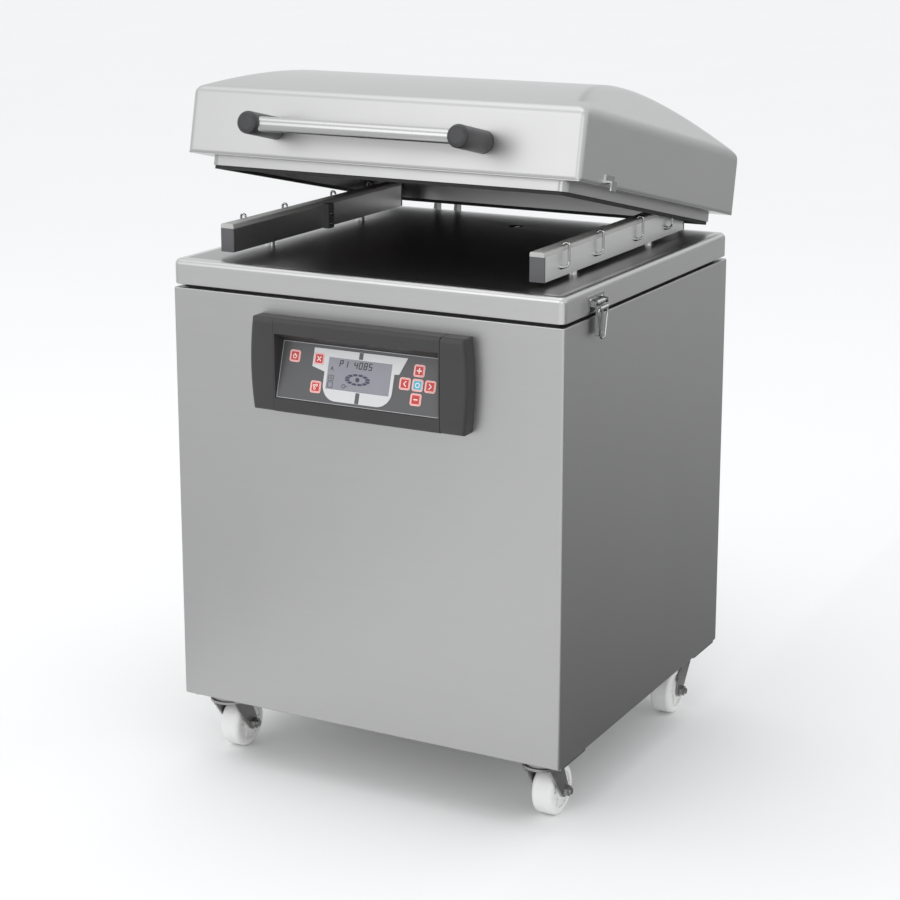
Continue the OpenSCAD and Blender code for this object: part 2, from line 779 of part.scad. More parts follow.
module lid_gasket() { color("black") opened() gasket_form(); }

module pressure_bars() {
    reach = lid_w / 2 - lid_t - bar_x;
    holder_z = press_z + silicone_h - 4;
    bar_l = bar_len - 20;
    color("silver") opened() both_sides() {
        difference() {
            translate([bar_x, 0, holder_z]) slab(press_w, bar_l, press_h);
            translate([bar_x, 0, holder_z - 1]) slab(silicone_w, bar_l + 2, 5);
        }
        for (y = [-bar_l / 3, 0, bar_l / 3])
            translate([bar_x, y - 2, holder_z + 6]) cube([reach, 4, press_h - 6]);
    }
}

module silicone_strips() {
    color("firebrick") opened() both_sides()
        translate([bar_x, 0, press_z]) slab(silicone_w, bar_len - 20, silicone_h);
}

module handle_tube() {
    color("silver") opened() translate([-post_x - tube_end, -lid_d / 2 - tube_off, lid_z + handle_z])
        difference() {
            rod_x(tube_r, 2 * (post_x + tube_end));
            translate([-1, 0, 0]) rod_x(tube_r - 2, 2 * (post_x + tube_end) + 2);
        }
}

module handle_posts() {
    round_off = 3;
    color("black") opened() both_sides()
        translate([post_x, -lid_d / 2 - post_len, lid_z + handle_z]) difference() {
            rotate([-90, 0, 0]) rotate_extrude() union() {
                translate([0, round_off]) square([post_r, post_len - round_off]);
                square([post_r - round_off, post_len]);
                intersection() {
                    translate([post_r - round_off, round_off]) circle(round_off);
                    translate([0, -1]) square([post_r, post_len]);
                }
            }
            translate([-post_r - 1, post_len - tube_off, 0]) rod_x(tube_r, post_r + 1 + tube_end);
        }
}

module lid_arms() {
    pad_top = lid_z + 80;
    face = lid_d / 2;
    color("silver") opened() both_sides() translate([arm_x - arm_w / 2, 0, 0]) difference() {
        union() {
            translate([0, face, lid_z + 6]) cube([arm_w, 5, pad_top - lid_z - 6]);
            for (x = [0, arm_w - arm_t]) translate([x, 0, 0]) cheek(arm_t)
                polygon([[face + 5 - eps, pad_top - 4], [face + 10, pad_top - 4],
                    [hinge_y + eye_r, hinge_z + 50], [hinge_y + eye_r, hinge_z],
                    [hinge_y - eye_r, hinge_z], [hinge_y - eye_r, lid_z - 12],
                    [face + 5 - eps, lid_z + 6]]);
            translate([0, hinge_y + eye_r - 4, hinge_z + 20]) cube([arm_w, 4, 31]);
            translate([0, hinge_y, hinge_z]) rod_x(eye_r, arm_w);
        }
        translate([-1, hinge_y, hinge_z]) rod_x(shaft_r + run_fit, arm_w + 2);
    }
}

module hinge_brackets() {
    inner = arm_x - arm_w / 2 - bracket_gap - arm_t;
    span = arm_w + 2 * bracket_gap + 2 * arm_t;
    base_t = 5;
    wall_y = cab_d / 2;
    color("silver") both_sides() translate([inner, 0, 0]) difference() {
        union() {
            translate([-8, wall_y, hinge_z - 40]) cube([span + 16, base_t, 70]);
            for (x = [0, span - arm_t]) translate([x, 0, 0]) {
                cheek(arm_t) polygon([[wall_y + base_t - eps, hinge_z - 38],
                    [wall_y + base_t - eps, hinge_z + 28], [hinge_y, hinge_z + eye_r],
                    [hinge_y, hinge_z - eye_r]]);
                translate([0, hinge_y, hinge_z]) rod_x(eye_r, arm_t);
            }
        }
        translate([-1, hinge_y, hinge_z]) rod_x(shaft_r, span + 2);
    }
}

module hinge_shaft() {
    half = arm_x + arm_w / 2 + bracket_gap + arm_t + 6;
    color("gray") translate([0, hinge_y, hinge_z]) union() {
        translate([-half, 0, 0]) rod_x(shaft_r, 2 * half);
        both_sides() translate([half - 4, 0, 0]) rod_x(shaft_r + 3, 2.5);
    }
}

// Closely wound springs: the turns touch, and one end of the wire presses on the cabinet's rear wall.
module hinge_springs() {
    pitch = 2 * spring_wire_r - 0.2;
    color("gray") both_sides() translate([spring_x, hinge_y, hinge_z]) {
        rotate([0, -90, 0]) rotate_extrude() for (i = [0 : spring_turns - 1])
            translate([spring_r, (i + 0.5) * pitch]) circle(spring_wire_r);
        translate([-spring_wire_r, cab_d / 2 - hinge_y, -spring_r])
            rod_y(spring_wire_r - 0.3, hinge_y - cab_d / 2);
    }
}

// ---- latches, drawn for the right-hand side ----

module latch_base() {
    ear_y = 20;
    ear_t = 3;
    translate([cab_w / 2, latch_y - latch_w / 2, latch_z]) cube([latch_t, latch_w, latch_h]);
    for (sy = [-1, 1]) translate([cab_w / 2 + latch_t - eps, latch_y + sy * (ear_y + ear_t / 2) - ear_t / 2,
        lever_z - 4]) cube([lever_x - cab_w / 2 - latch_t + 4, ear_t, 8]);
    translate([lever_x, latch_y - ear_y - ear_t - 1, lever_z]) rod_y(lever_pin_r, 2 * (ear_y + ear_t + 1));
}

module latch_bases() { color("silver") both_sides() latch_base(); }

module latch_lever() {
    barrel_r = 4;
    boss_r = 3.5;
    color("silver") placed() difference() {
        union() {
            translate([lever_x, latch_y - lever_w / 2, lever_z]) rod_y(barrel_r, lever_w);
            translate([lever_x - 1, latch_y - lever_w / 2, lever_z - lever_len])
                cube([2, lever_w, lever_len]);
            translate([bail_x, latch_y - lever_w / 2, bail_z]) rod_y(boss_r, lever_w);
            translate([lever_x, latch_y - lever_w / 2, bail_z - 2]) cube([bail_x - lever_x, lever_w, 4]);
            translate([lever_x - 1, latch_y - lever_w / 2, lever_z - lever_len]) cube([6, lever_w, 2]);
        }
        translate([lever_x, latch_y - lever_w, lever_z]) rod_y(lever_pin_r + run_fit, 2 * lever_w);
        translate([bail_x, latch_y - lever_w, bail_z]) rod_y(bail_r + run_fit, 2 * lever_w);
    }
}

module latch_bail() {
    low = bail_z - bail_len;
    color("silver") placed() translate([bail_x, latch_y, 0]) union() {
        for (z = [bail_z, low]) translate([0, -bail_half, z]) rod_y(bail_r, 2 * bail_half);
        for (sy = [-1, 1]) {
            translate([0, sy * bail_half, low]) cylinder(r = bail_r, h = bail_len);
            for (z = [bail_z, low]) translate([0, sy * bail_half, z]) sphere(r = bail_r);
        }
    }
}

module latch_keepers() {
    hook_x = lid_w / 2 + 7;
    color("silver") opened() both_sides() union() {
        translate([lid_w / 2, latch_y - 15, lid_z + 5]) cube([2, 30, 12]);
        translate([lid_w / 2 + 2 - eps, latch_y - 9, lid_z + 6]) cube([7, 18, 3]);
        translate([hook_x, latch_y - 9, lid_z - 5]) cube([2, 18, 14]);
    }
}

// ---- casters ----

module caster_plate() {
    difference() {
        union() {
            translate([0, 0, caster_h - top_plate_t]) slab(100, 85, top_plate_t);
            translate([0, 0, caster_h - top_plate_t - race_h]) cylinder(r = race_r, h = race_h);
            translate([0, 0, crown_z - 3]) cylinder(r = kingpin_r, h = crown_t + race_h);
            translate([0, 0, crown_z - 5]) cylinder(r = kingpin_r + 4, h = 4.6);
        }
        for (hx = [-40, 40], hy = [-30, 30])
            translate([hx, hy, caster_h - top_plate_t - 1]) cylinder(r = 4.5, h = top_plate_t + 2);
    }
}

module caster_plates() {
    color("silver") for (sx = [-1, 1], sy = [-1, 1])
        translate([sx * caster_x, sy * caster_y, 0]) caster_plate();
}

// A swivel fork with its axle bolt. The wheel trails towards way, 1 for the back, -1 for the front.
module caster_fork(sx, sy) {
    way = -sy;
    foot_r = 11;
    color("gray") placed() translate([sx * caster_x, sy * caster_y, 0]) {
        difference() {
            union() {
                translate([0, 0, crown_z]) cylinder(r = crown_r, h = crown_t);
                for (x = [-leg_x - leg_t, leg_x]) translate([x, 0, 0]) {
                    cheek(leg_t) polygon([[-way * 22, crown_z + crown_t / 2],
                        [way * 22, crown_z + crown_t / 2],
                        [way * (caster_trail + foot_r), wheel_z + 4],
                        [way * (caster_trail + foot_r), wheel_z],
                        [way * (caster_trail - 4), wheel_z - foot_r + 1],
                        [way * (caster_trail - foot_r), wheel_z - 4]]);
                    translate([0, way * caster_trail, wheel_z]) rod_x(foot_r, leg_t);
                }
            }
            translate([0, 0, crown_z - 1]) cylinder(r = kingpin_r + run_fit, h = crown_t + 2);
            translate([-2 * leg_x, way * caster_trail, wheel_z]) rod_x(axle_r, 4 * leg_x);
        }
        translate([-leg_x - leg_t - 3, way * caster_trail, wheel_z])
            rod_x(axle_r, 2 * (leg_x + leg_t) + nut_h + 6);
        for (x = [-leg_x - leg_t - nut_h + 1, leg_x + leg_t])
            translate([x, way * caster_trail, wheel_z]) rotate([0, 90, 0])
                cylinder(r = nut_r, h = nut_h - 1, $fn = 6);
    }
}

module caster_wheel(sx, sy) {
    way = -sy;
    edge = 7;
    color("white") placed() translate([sx * caster_x, sy * caster_y + way * caster_trail, wheel_z])
        rotate([0, 90, 0]) rotate_extrude($fn = 96) difference() {
            union() {
                translate([0, -wheel_w / 2]) square([wheel_d / 2 - edge, wheel_w]);
                translate([0, -wheel_w / 2 + edge]) square([wheel_d / 2, wheel_w - 2 * edge]);
                for (s = [-1, 1]) translate([wheel_d / 2 - edge, s * (wheel_w / 2 - edge)]) circle(edge);
            }
            translate([-wheel_d, -wheel_w]) square([wheel_d + axle_r + run_fit, 2 * wheel_w]);
            for (s = [-1, 1]) translate([16, s * wheel_w / 2 - 3]) square([12, 6]);
        }
}

placed() base_pan();
placed() cabinet_wrap();
placed() rear_panel();
placed() deck_frame();
placed() work_plate();
placed() control_bezel();
placed() bezel_end_caps();
placed() keypad_panel();
placed() display_surround();
placed() display_window();
placed() control_board();
placed() vacuum_pump();
placed() pump_motor();
placed() valve_block();
placed() transformer();
placed() vacuum_hose();
placed() lift_cylinders();
placed() hinge_brackets();
placed() hinge_shaft();
placed() hinge_springs();
placed() mains_inlet();
placed() caster_plates();
placed() latch_bases();
lid_shell();
lid_rim();
lid_gasket();
pressure_bars();
silicone_strips();
handle_tube();
handle_posts();
lid_arms();
latch_keepers();
mirror([1, 0, 0]) seal_bar();  // seal_bar_left
mirror([1, 0, 0]) seal_strip();  // seal_strip_left
mirror([1, 0, 0]) bar_ends();  // bar_ends_left
mirror([1, 0, 0]) bag_clips();  // bag_clips_left
seal_bar();  // seal_bar_right
seal_strip();  // seal_strip_right
bar_ends();  // bar_ends_right
bag_clips();  // bag_clips_right
caster_fork(-1, -1);  // caster_fork_fl
caster_wheel(-1, -1);  // caster_wheel_fl
caster_fork(1, -1);  // caster_fork_fr
caster_wheel(1, -1);  // caster_wheel_fr
caster_fork(-1, 1);  // caster_fork_rl
caster_wheel(-1, 1);  // caster_wheel_rl
caster_fork(1, 1);  // caster_fork_rr
caster_wheel(1, 1);  // caster_wheel_rr
mirror([1, 0, 0]) latch_lever();  // latch_lever_left
mirror([1, 0, 0]) latch_bail();  // latch_bail_left
latch_lever();  // latch_lever_right
latch_bail();  // latch_bail_right
key(0);  // key_power
key(1);  // key_stop
key(2);  // key_program
key(3);  // key_plus
key(4);  // key_left
key(5);  // key_enter
key(6);  // key_right
key(7);  // key_minus
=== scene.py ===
import bpy, bmesh, json, math
import numpy as np
from mathutils import Matrix, Vector


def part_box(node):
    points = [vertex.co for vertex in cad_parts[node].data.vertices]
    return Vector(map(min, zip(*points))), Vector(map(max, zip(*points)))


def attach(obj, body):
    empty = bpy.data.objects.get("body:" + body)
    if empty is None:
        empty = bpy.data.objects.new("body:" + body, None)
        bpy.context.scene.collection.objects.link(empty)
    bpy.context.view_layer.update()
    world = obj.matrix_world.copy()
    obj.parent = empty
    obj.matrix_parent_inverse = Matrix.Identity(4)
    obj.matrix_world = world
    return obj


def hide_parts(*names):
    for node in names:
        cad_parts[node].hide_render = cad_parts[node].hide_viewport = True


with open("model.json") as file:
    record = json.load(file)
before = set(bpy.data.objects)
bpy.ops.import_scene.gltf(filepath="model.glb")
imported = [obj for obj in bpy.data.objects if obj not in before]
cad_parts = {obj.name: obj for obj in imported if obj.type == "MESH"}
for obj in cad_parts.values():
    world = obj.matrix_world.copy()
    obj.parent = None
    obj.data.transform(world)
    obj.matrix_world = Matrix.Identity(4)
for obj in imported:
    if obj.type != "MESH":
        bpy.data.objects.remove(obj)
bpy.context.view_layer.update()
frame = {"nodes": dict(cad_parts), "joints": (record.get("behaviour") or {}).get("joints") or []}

print("frame loaded:", len(frame["nodes"]), "nodes")

cabinetLow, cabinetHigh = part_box("cabinet_wrap")
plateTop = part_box("work_plate")[1].z * 1000
cabinetTop = cabinetHigh.z * 1000
floorGap = cabinetLow.z * 1000
middleY = (cabinetLow.y + cabinetHigh.y) / 2
halfWidth = (cabinetHigh.x - cabinetLow.x) * 500
halfDepth = (cabinetHigh.y - cabinetLow.y) * 500
lidHinge = next(j for j in frame["joints"] if j["name"] == "lid_hinge")
hingeY = (lidHinge["pos_m"][1] - middleY) * 1000
hingeZ = lidHinge["pos_m"][2] * 1000
openDegrees = 12.5  # how far the lid stands open at rest
lidGap = 20.4  # from the plate up to the closed lid's edge
lidEdge = plateTop + lidGap

# pieces are drawn in millimetres about the cabinet's middle,
# and the lid's own pieces as if it were shut
atCabinet = Matrix.Translation((0, middleY, 0)) @ Matrix.Scale(0.001, 4)
hinge = Matrix.Translation((0, hingeY, hingeZ))
atLid = atCabinet @ hinge @ Matrix.Rotation(math.radians(-openDegrees), 4, "X") @ hinge.inverted()

panel = {"middle": 8, "out": 30, "low": 601, "high": 743, "half": 140, "edge": 183,
         "padOut": 28, "padFoot": 623, "padLength": 87, "lean": 16.5, "capSag": 5.0, "capRound": 8.0}
lean = math.radians(panel["lean"])
atPad = (atCabinet @ Matrix.Translation((panel["middle"], -halfDepth - panel["padOut"], panel["padFoot"]))
         @ Matrix.Rotation(math.radians(90) - lean, 4, "X"))


class Wire:  # one socket of a material, with the arithmetic that the recipes below use
    def __init__(self, recipe, socket):
        self.recipe, self.socket = recipe, socket

    def __getitem__(self, name):
        return Wire(self.recipe, self.socket.node.outputs[name])

    def maths(self, operation, first, second):
        return self.recipe.node("ShaderNodeMath", {"operation": operation}, {0: first, 1: second})

    def __add__(self, other):
        return self.maths("ADD", self, other)

    def __radd__(self, other):
        return self.maths("ADD", other, self)

    def __sub__(self, other):
        return self.maths("SUBTRACT", self, other)

    def __rsub__(self, other):
        return self.maths("SUBTRACT", other, self)

    def __mul__(self, other):
        return self.maths("MULTIPLY", self, other)

    def __rmul__(self, other):
        return self.maths("MULTIPLY", other, self)

    def __truediv__(self, other):
        return self.maths("DIVIDE", self, other)

    def __rtruediv__(self, other):
        return self.maths("DIVIDE", other, self)


class Recipe:  # a material under construction
    def __init__(self, name):
        self.material = bpy.data.materials.new(name)
        self.material.use_nodes = True
        self.tree = self.material.node_tree
        self.tree.nodes.clear()

    def node(self, kind, settings=None, inputs=None, out=0):
        made = self.tree.nodes.new(kind)
        for key, value in (settings or {}).items():
            if key == "stops":
                ramp = made.color_ramp.elements
                while len(ramp) < len(value):
                    ramp.new(0.5)
                for element, (position, shade) in zip(ramp, value):
                    element.position = position
                    element.color = shade if len(shade) == 4 else (*shade, 1)
            else:
                setattr(made, key, value)
        for key, value in (inputs or {}).items():
            if isinstance(value, Wire):
                self.tree.links.new(value.socket, made.inputs[key])
            else:
                made.inputs[key].default_value = value
        if made.outputs:
            return Wire(self, made.outputs[out])

    def where(self, scale=(1, 1, 1)):
        spot = self.node("ShaderNodeTexCoord")["Object"]
        return self.node("ShaderNodeMapping", {}, {"Vector": spot, "Scale": scale})

    def noise(self, scale, detail=3, stretch=(1, 1, 1), rough=0.5):
        return self.node("ShaderNodeTexNoise", {}, {"Vector": self.where(stretch), "Scale": scale,
                                                    "Detail": detail, "Roughness": rough})

    def ramp(self, value, stops):
        return self.node("ShaderNodeValToRGB", {"stops": stops}, {0: value})

    def between(self, value, low, high):
        return self.node("ShaderNodeMapRange", {}, {"Value": value, "To Min": low, "To Max": high})

    def mix(self, factor, first, second, way="MIX"):
        # 6, 7 and output 2 are the colour sockets, which share their names with others
        return self.node("ShaderNodeMix", {"data_type": "RGBA", "blend_type": way},
                         {0: factor, 6: first, 7: second}, out=2)

    def bump(self, height, strength, distance):
        return self.node("ShaderNodeBump", {},
                         {"Height": height, "Strength": strength, "Distance": distance})

    def finish(self, **sockets):
        named = {key.replace("_", " "): value for key, value in sockets.items()}
        shader = self.node("ShaderNodeBsdfPrincipled", {}, named)
        self.node("ShaderNodeOutputMaterial", {}, {"Surface": shader})
        return self.material


def grey(value, warm=0.0):
    return (value * (1 + warm), value, value * (1 - warm), 1)


def brushedSheet(name, tone, gloss, grain="x", strength=0.05, mottle=0.06, vary=1.0):
    r = Recipe(name)
    stretch = {"x": (3, 420, 420), "y": (420, 3, 420), "z": (420, 420, 3)}[grain]
    lines = r.noise(1.0, 4, stretch, 0.6)
    cloud = r.noise(3.2, 2)
    smear = r.noise(14, 3, (1, 1, 0.35))
    blend = lines * 0.5 + cloud * 0.3 + smear * 0.2
    colour = r.mix(blend, grey(tone * (1 - mottle), 0.004), grey(tone * (1 + mottle), 0.004))
    rough = r.between(lines * 0.6 + smear * 0.4, gloss - 0.06 * vary, gloss + 0.07 * vary)
    return r.finish(Base_Color=colour, Metallic=1.0, Roughness=rough,
                    Normal=r.bump(lines, strength, 0.0004))


def turnedMetal(name, tone, gloss, warm=0.0, undersideShadeTone=0.6):
    r = Recipe(name)
    fine = r.noise(900, 3)
    stain = r.noise(35, 4)
    # painted shade: the colour is darkened on faces that turn downwards and kept light on faces that turn
    # upwards, standing in for how the light falls
    up = r.node("ShaderNodeSeparateXYZ", {}, {0: r.node("ShaderNodeTexCoord")["Normal"]})["Z"]
    paintedUndersideShade = r.ramp(up * 0.5 + 0.5, [(0.0, grey(undersideShadeTone)), (0.42, grey(undersideShadeTone * 1.5)),
                                   (0.62, grey(0.85)), (1.0, grey(1.0))])
    metal = r.mix(stain, grey(tone * 0.86, warm), grey(tone * 1.06, warm))
    colour = r.mix(1.0, metal, paintedUndersideShade, "MULTIPLY")
    rough = r.between(fine * 0.4 + stain * 0.6, gloss - 0.05, gloss + 0.1)
    return r.finish(Base_Color=colour, Metallic=1.0, Roughness=rough, Normal=r.bump(fine, 0.06, 0.0003))


def zincPlate(name, tone):
    r = Recipe(name)
    cells = r.node("ShaderNodeTexVoronoi", {"feature": "F1"},
                   {"Vector": r.where(), "Scale": 190.0})["Color"]
    stain = r.noise(28, 4)
    patch = r.node("ShaderNodeSeparateColor", {}, {0: cells})
    colour = r.mix(patch * 0.5 + stain * 0.5, grey(tone * 0.82, 0.01), grey(tone * 1.1, 0.01))
    return r.finish(Base_Color=colour, Metallic=1.0, Roughness=r.between(patch, 0.34, 0.5),
                    Normal=r.bump(stain, 0.08, 0.0004))


def mouldedPlastic(name, colour, gloss, pebble=1500, depth=0.25, wear=0.15):
    r = Recipe(name)
    grain = r.node("ShaderNodeTexVoronoi", {"feature": "SMOOTH_F1"},
                   {"Vector": r.where(), "Scale": float(pebble)})
    cloud = r.noise(22, 3)
    low = tuple(c * (1 - wear) for c in colour[:3]) + (1,)
    high = tuple(min(c * (1 + wear), 1) for c in colour[:3]) + (1,)
    return r.finish(Base_Color=r.mix(cloud, low, high), Metallic=0.0,
                    Roughness=r.between(cloud * 0.5 + grain * 0.5, gloss - 0.05, gloss + 0.08),
                    Normal=r.bump(grain, depth, 0.0002))


def softRubber(name, colour, gloss=0.6):
    r = Recipe(name)
    dust = r.noise(60, 5)
    pale = tuple(c * 1.6 + 0.01 for c in colour[:3]) + (1,)
    return r.finish(Base_Color=r.mix(r.between(dust, -0.4, 1.0), colour, pale),
                    Roughness=r.between(dust, gloss, gloss + 0.2), Normal=r.bump(dust, 0.15, 0.0005))


def printedFilm(name, colour, gloss):
    r = Recipe(name)
    orangePeel = r.noise(420, 2)
    haze = r.noise(18, 3)
    low = tuple(c * 0.94 for c in colour[:3]) + (1,)
    rough = r.between(orangePeel * 0.5 + haze * 0.5, gloss - 0.04, gloss + 0.06)
    return r.finish(Base_Color=r.mix(haze, low, colour), Roughness=rough,
                    Normal=r.bump(orangePeel, 0.04, 0.0002))


def wovenTape(name):
    r = Recipe(name)
    spot = r.where()
    warp = r.node("ShaderNodeTexWave", {"bands_direction": "X"}, {"Vector": spot, "Scale": 260.0})
    weft = r.node("ShaderNodeTexWave", {"bands_direction": "Y"}, {"Vector": spot, "Scale": 260.0})
    weave = warp * 0.5 + weft * 0.5
    scorch = r.noise(9, 4)
    colour = r.mix(r.between(scorch, 0.0, 0.6), (0.50, 0.50, 0.49, 1), (0.43, 0.42, 0.40, 1))
    return r.finish(Base_Color=r.mix(weave * 0.35, colour, (0.56, 0.56, 0.55, 1)), Metallic=0.25,
                    Roughness=r.between(weave, 0.38, 0.6), Normal=r.bump(weave, 0.2, 0.0003))


def castPaint(name, colour):
    r = Recipe(name)
    pits = r.noise(240, 4)
    grime = r.noise(12, 5)
    dark = tuple(c * 0.6 for c in colour[:3]) + (1,)
    return r.finish(Base_Color=r.mix(grime, dark, colour), Roughness=r.between(pits, 0.4, 0.65),
                    Normal=r.bump(pits, 0.4, 0.0006))


def liquidCrystal(name):
    r = Recipe(name)
    grid = r.node("ShaderNodeTexWave", {"bands_direction": "X"}, {"Vector": r.where(), "Scale": 900.0})
    haze = r.noise(16, 2)
    colour = r.mix(haze * 0.8 + grid * 0.2, (0.165, 0.165, 0.195, 1), (0.21, 0.21, 0.25, 1))
    return r.finish(Base_Color=colour, Roughness=r.between(haze, 0.12, 0.2),
                    Coat_Weight=0.5, Coat_Roughness=0.08)


finish = {
    "sheet": brushedSheet("satinSheet", 0.46, 0.38, "x"),
    "side": brushedSheet("satinBack", 0.46, 0.4, "z"),
    "plate": brushedSheet("polishedPlate", 0.3, 0.33, "x", 0.008, 0.03, 0.25),
    "skirt": brushedSheet("satinSkirt", 0.54, 0.3, "x"),
    "lid": brushedSheet("satinLid", 0.5, 0.38, "x"),
    # painted shade: the lid's inner face is the same steel, coloured near black to stand in for the shade
    # inside the lid
    "lidInsidePaintedShade": brushedSheet("lidInsidePaintedShade", 0.04, 0.5, "x"),
    "rim": brushedSheet("lidRim", 0.42, 0.3, "x"),
    # polished steel whose colour carries painted shade, darkest at 0.16 on its downward faces
    "chrome": turnedMetal("polishedSteel", 0.72, 0.16, 0.0, 0.16),
    "tube": brushedSheet("brushedTube", 0.5, 0.24, "x", 0.04),
    "zinc": zincPlate("zincPlate", 0.36),
    "zincDark": zincPlate("deckZinc", 0.09),
    "bar": brushedSheet("anodisedBar", 0.82, 0.34, "y", 0.06),
    "press": brushedSheet("pressBar", 0.12, 0.45, "y"),
    "tape": wovenTape("sealTape"),
    "charcoal": mouldedPlastic("charcoalPlastic", (0.034, 0.032, 0.033, 1), 0.46),
    "barEnd": mouldedPlastic("barEndPlastic", (0.10, 0.10, 0.105, 1), 0.45),
    "post": mouldedPlastic("postPlastic", (0.028, 0.028, 0.03, 1), 0.36, 2200, 0.12),
    "film": printedFilm("keypadFilm", (0.085, 0.085, 0.088, 1), 0.4),
    "line": printedFilm("filmBorder", (0.5, 0.5, 0.52, 1), 0.4),
    "surround": printedFilm("silverFilm", (0.60, 0.605, 0.61, 1), 0.34),
    "crystal": liquidCrystal("liquidCrystal"),
    "ink": printedFilm("displayInk", (0.012, 0.012, 0.02, 1), 0.3),
    "inkViolet": printedFilm("displayViolet", (0.03, 0.022, 0.07, 1), 0.3),
    "keyRed": printedFilm("keyRed", (0.50, 0.035, 0.03, 1), 0.35),
    "keyCyan": printedFilm("keyCyan", (0.06, 0.42, 0.55, 1), 0.35),
    "keyRim": printedFilm("keyRim", (0.95, 0.52, 0.50, 1), 0.35),
    "keyMark": printedFilm("keyMark", (0.9, 0.78, 0.76, 1), 0.35),
    "board": printedFilm("boardLacquer", (0.03, 0.14, 0.06, 1), 0.25),
    "casting": castPaint("pumpCasting", (0.11, 0.115, 0.12, 1)),
    "motor": castPaint("motorPaint", (0.10, 0.13, 0.17, 1)),
    "manifold": turnedMetal("manifold", 0.55, 0.3),
    "core": castPaint("windingVarnish", (0.20, 0.11, 0.045, 1)),
    "rubber": softRubber("blackRubber", (0.012, 0.012, 0.012, 1)),
    "silicone": softRubber("redSilicone", (0.28, 0.05, 0.03, 1), 0.5),
    "spring": turnedMetal("springSteel", 0.26, 0.35),
    "nylon": mouldedPlastic("whiteNylon", (0.80, 0.80, 0.79, 1), 0.34, 900, 0.05, 0.03),
}
print("materials made:", len(finish))

dress = {
    "base_pan": "side", "cabinet_wrap": "sheet", "rear_panel": "side", "deck_frame": "zincDark",
    "work_plate": "plate", "control_bezel": "charcoal", "bezel_end_caps": "charcoal",
    "keypad_panel": "film", "display_surround": "surround", "display_window": "crystal",
    "control_board": "board", "vacuum_pump": "casting", "pump_motor": "motor",
    "valve_block": "manifold", "transformer": "core", "vacuum_hose": "rubber",
    "lift_cylinders": "manifold", "hinge_brackets": "zinc", "hinge_shaft": "chrome",
    "hinge_springs": "spring", "mains_inlet": "charcoal", "caster_plates": "zinc",
    "latch_bases": "chrome", "lid_shell": "lid", "lid_rim": "rim", "lid_gasket": "rubber",
    "pressure_bars": "press", "silicone_strips": "silicone", "handle_tube": "tube",
    "handle_posts": "post", "lid_arms": "zinc", "latch_keepers": "chrome", "key_enter": "keyCyan",
}
for side in ("left", "right"):
    dress.update({f"seal_bar_{side}": "bar", f"seal_strip_{side}": "tape",
                  f"bar_ends_{side}": "barEnd", f"bag_clips_{side}": "chrome",
                  f"latch_lever_{side}": "chrome", f"latch_bail_{side}": "chrome"})
for corner in ("fl", "fr", "rl", "rr"):
    dress.update({f"caster_fork_{corner}": "zinc", f"caster_wheel_{corner}": "nylon"})
for key in ("power", "stop", "program", "plus", "left", "right", "minus"):
    dress[f"key_{key}"] = "keyRed"
for node, made in dress.items():
    for used in frame["nodes"][node].material_slots:
        used.material = finish[made]
print("CAD nodes dressed:", len(dress))


def addPiece(name, mesh, made, body, place=atCabinet, stands=(), soften=0.0, steps=3, angle=35, extra=()):
    # mesh is a bmesh; made names the finish, body what it moves with, stands the nodes it stands for
    bmesh.ops.remove_doubles(mesh, verts=mesh.verts, dist=0.0005)
    bmesh.ops.recalc_face_normals(mesh, faces=mesh.faces)
    if soften:
        sharp = [e for e in mesh.edges
                 if len(e.link_faces) == 2 and e.calc_face_angle(0) > math.radians(30)]
        bmesh.ops.bevel(mesh, geom=sharp, offset=soften, segments=steps, profile=0.5,
                        affect="EDGES", clamp_overlap=True)
    mesh.transform(place)
    data = bpy.data.meshes.new(name)
    mesh.to_mesh(data)
    mesh.free()
    piece = bpy.data.objects.new(name, data)
    bpy.context.scene.collection.objects.link(piece)
    for one in (made, *extra):
        data.materials.append(finish[one])
    for face in data.polygons:
        face.use_smooth = True
    data.set_sharp_from_angle(angle=math.radians(angle))
    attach(piece, body)
    if stands:
        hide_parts(*stands)
    return piece


def prism(mesh, outline, low, high, turn=Matrix.Identity(4)):
    # a straight block whose outline lies in x and y, from z low to high, then turned
    bottom = [mesh.verts.new(turn @ Vector((x, y, low))) for x, y in outline]
    top = [mesh.verts.new(turn @ Vector((x, y, high))) for x, y in outline]
    mesh.faces.new(bottom[::-1])
    mesh.faces.new(top)
    count = len(outline)
    for i in range(count):
        j = (i + 1) % count
        mesh.faces.new((bottom[i], bottom[j], top[j], top[i]))


def block(mesh, low, high, turn):
    outline = [(low[0], low[1]), (high[0], low[1]), (high[0], high[1]), (low[0], high[1])]
    prism(mesh, outline, low[2], high[2], turn)


def loft(mesh, loops, closed=True, caps=True):
    # a skin through loops of points; caps close its two ends
    rows = [[mesh.verts.new(p) for p in loop] for loop in loops]
    count = len(rows[0])
    for a, b in zip(rows, rows[1:]):
        for i in range(count if closed else count - 1):
            j = (i + 1) % count
            mesh.faces.new((a[i], a[j], b[j], b[i]))
    if caps:
        mesh.faces.new(rows[0][::-1])
        mesh.faces.new(rows[-1])
    return rows


def lathe(mesh, profile, steps, place):
    # profile is [(radius, height)], turned about the local z axis; a radius of 0 closes the end
    rows = []
    for radius, height in profile:
        if radius == 0:
            rows.append([mesh.verts.new(place @ Vector((0, 0, height)))])
        else:
            circle = [Vector((radius * math.cos(a), radius * math.sin(a), height))
                      for a in (2 * math.pi * i / steps for i in range(steps))]
            rows.append([mesh.verts.new(place @ point) for point in circle])
    for a, b in zip(rows, rows[1:]):
        for i in range(steps):
            j = (i + 1) % steps
            if len(a) == 1:
                mesh.faces.new((a[0], b[j], b[i]))
            elif len(b) == 1:
                mesh.faces.new((a[i], a[j], b[0]))
            else:
                mesh.faces.new((a[i], a[j], b[j], b[i]))


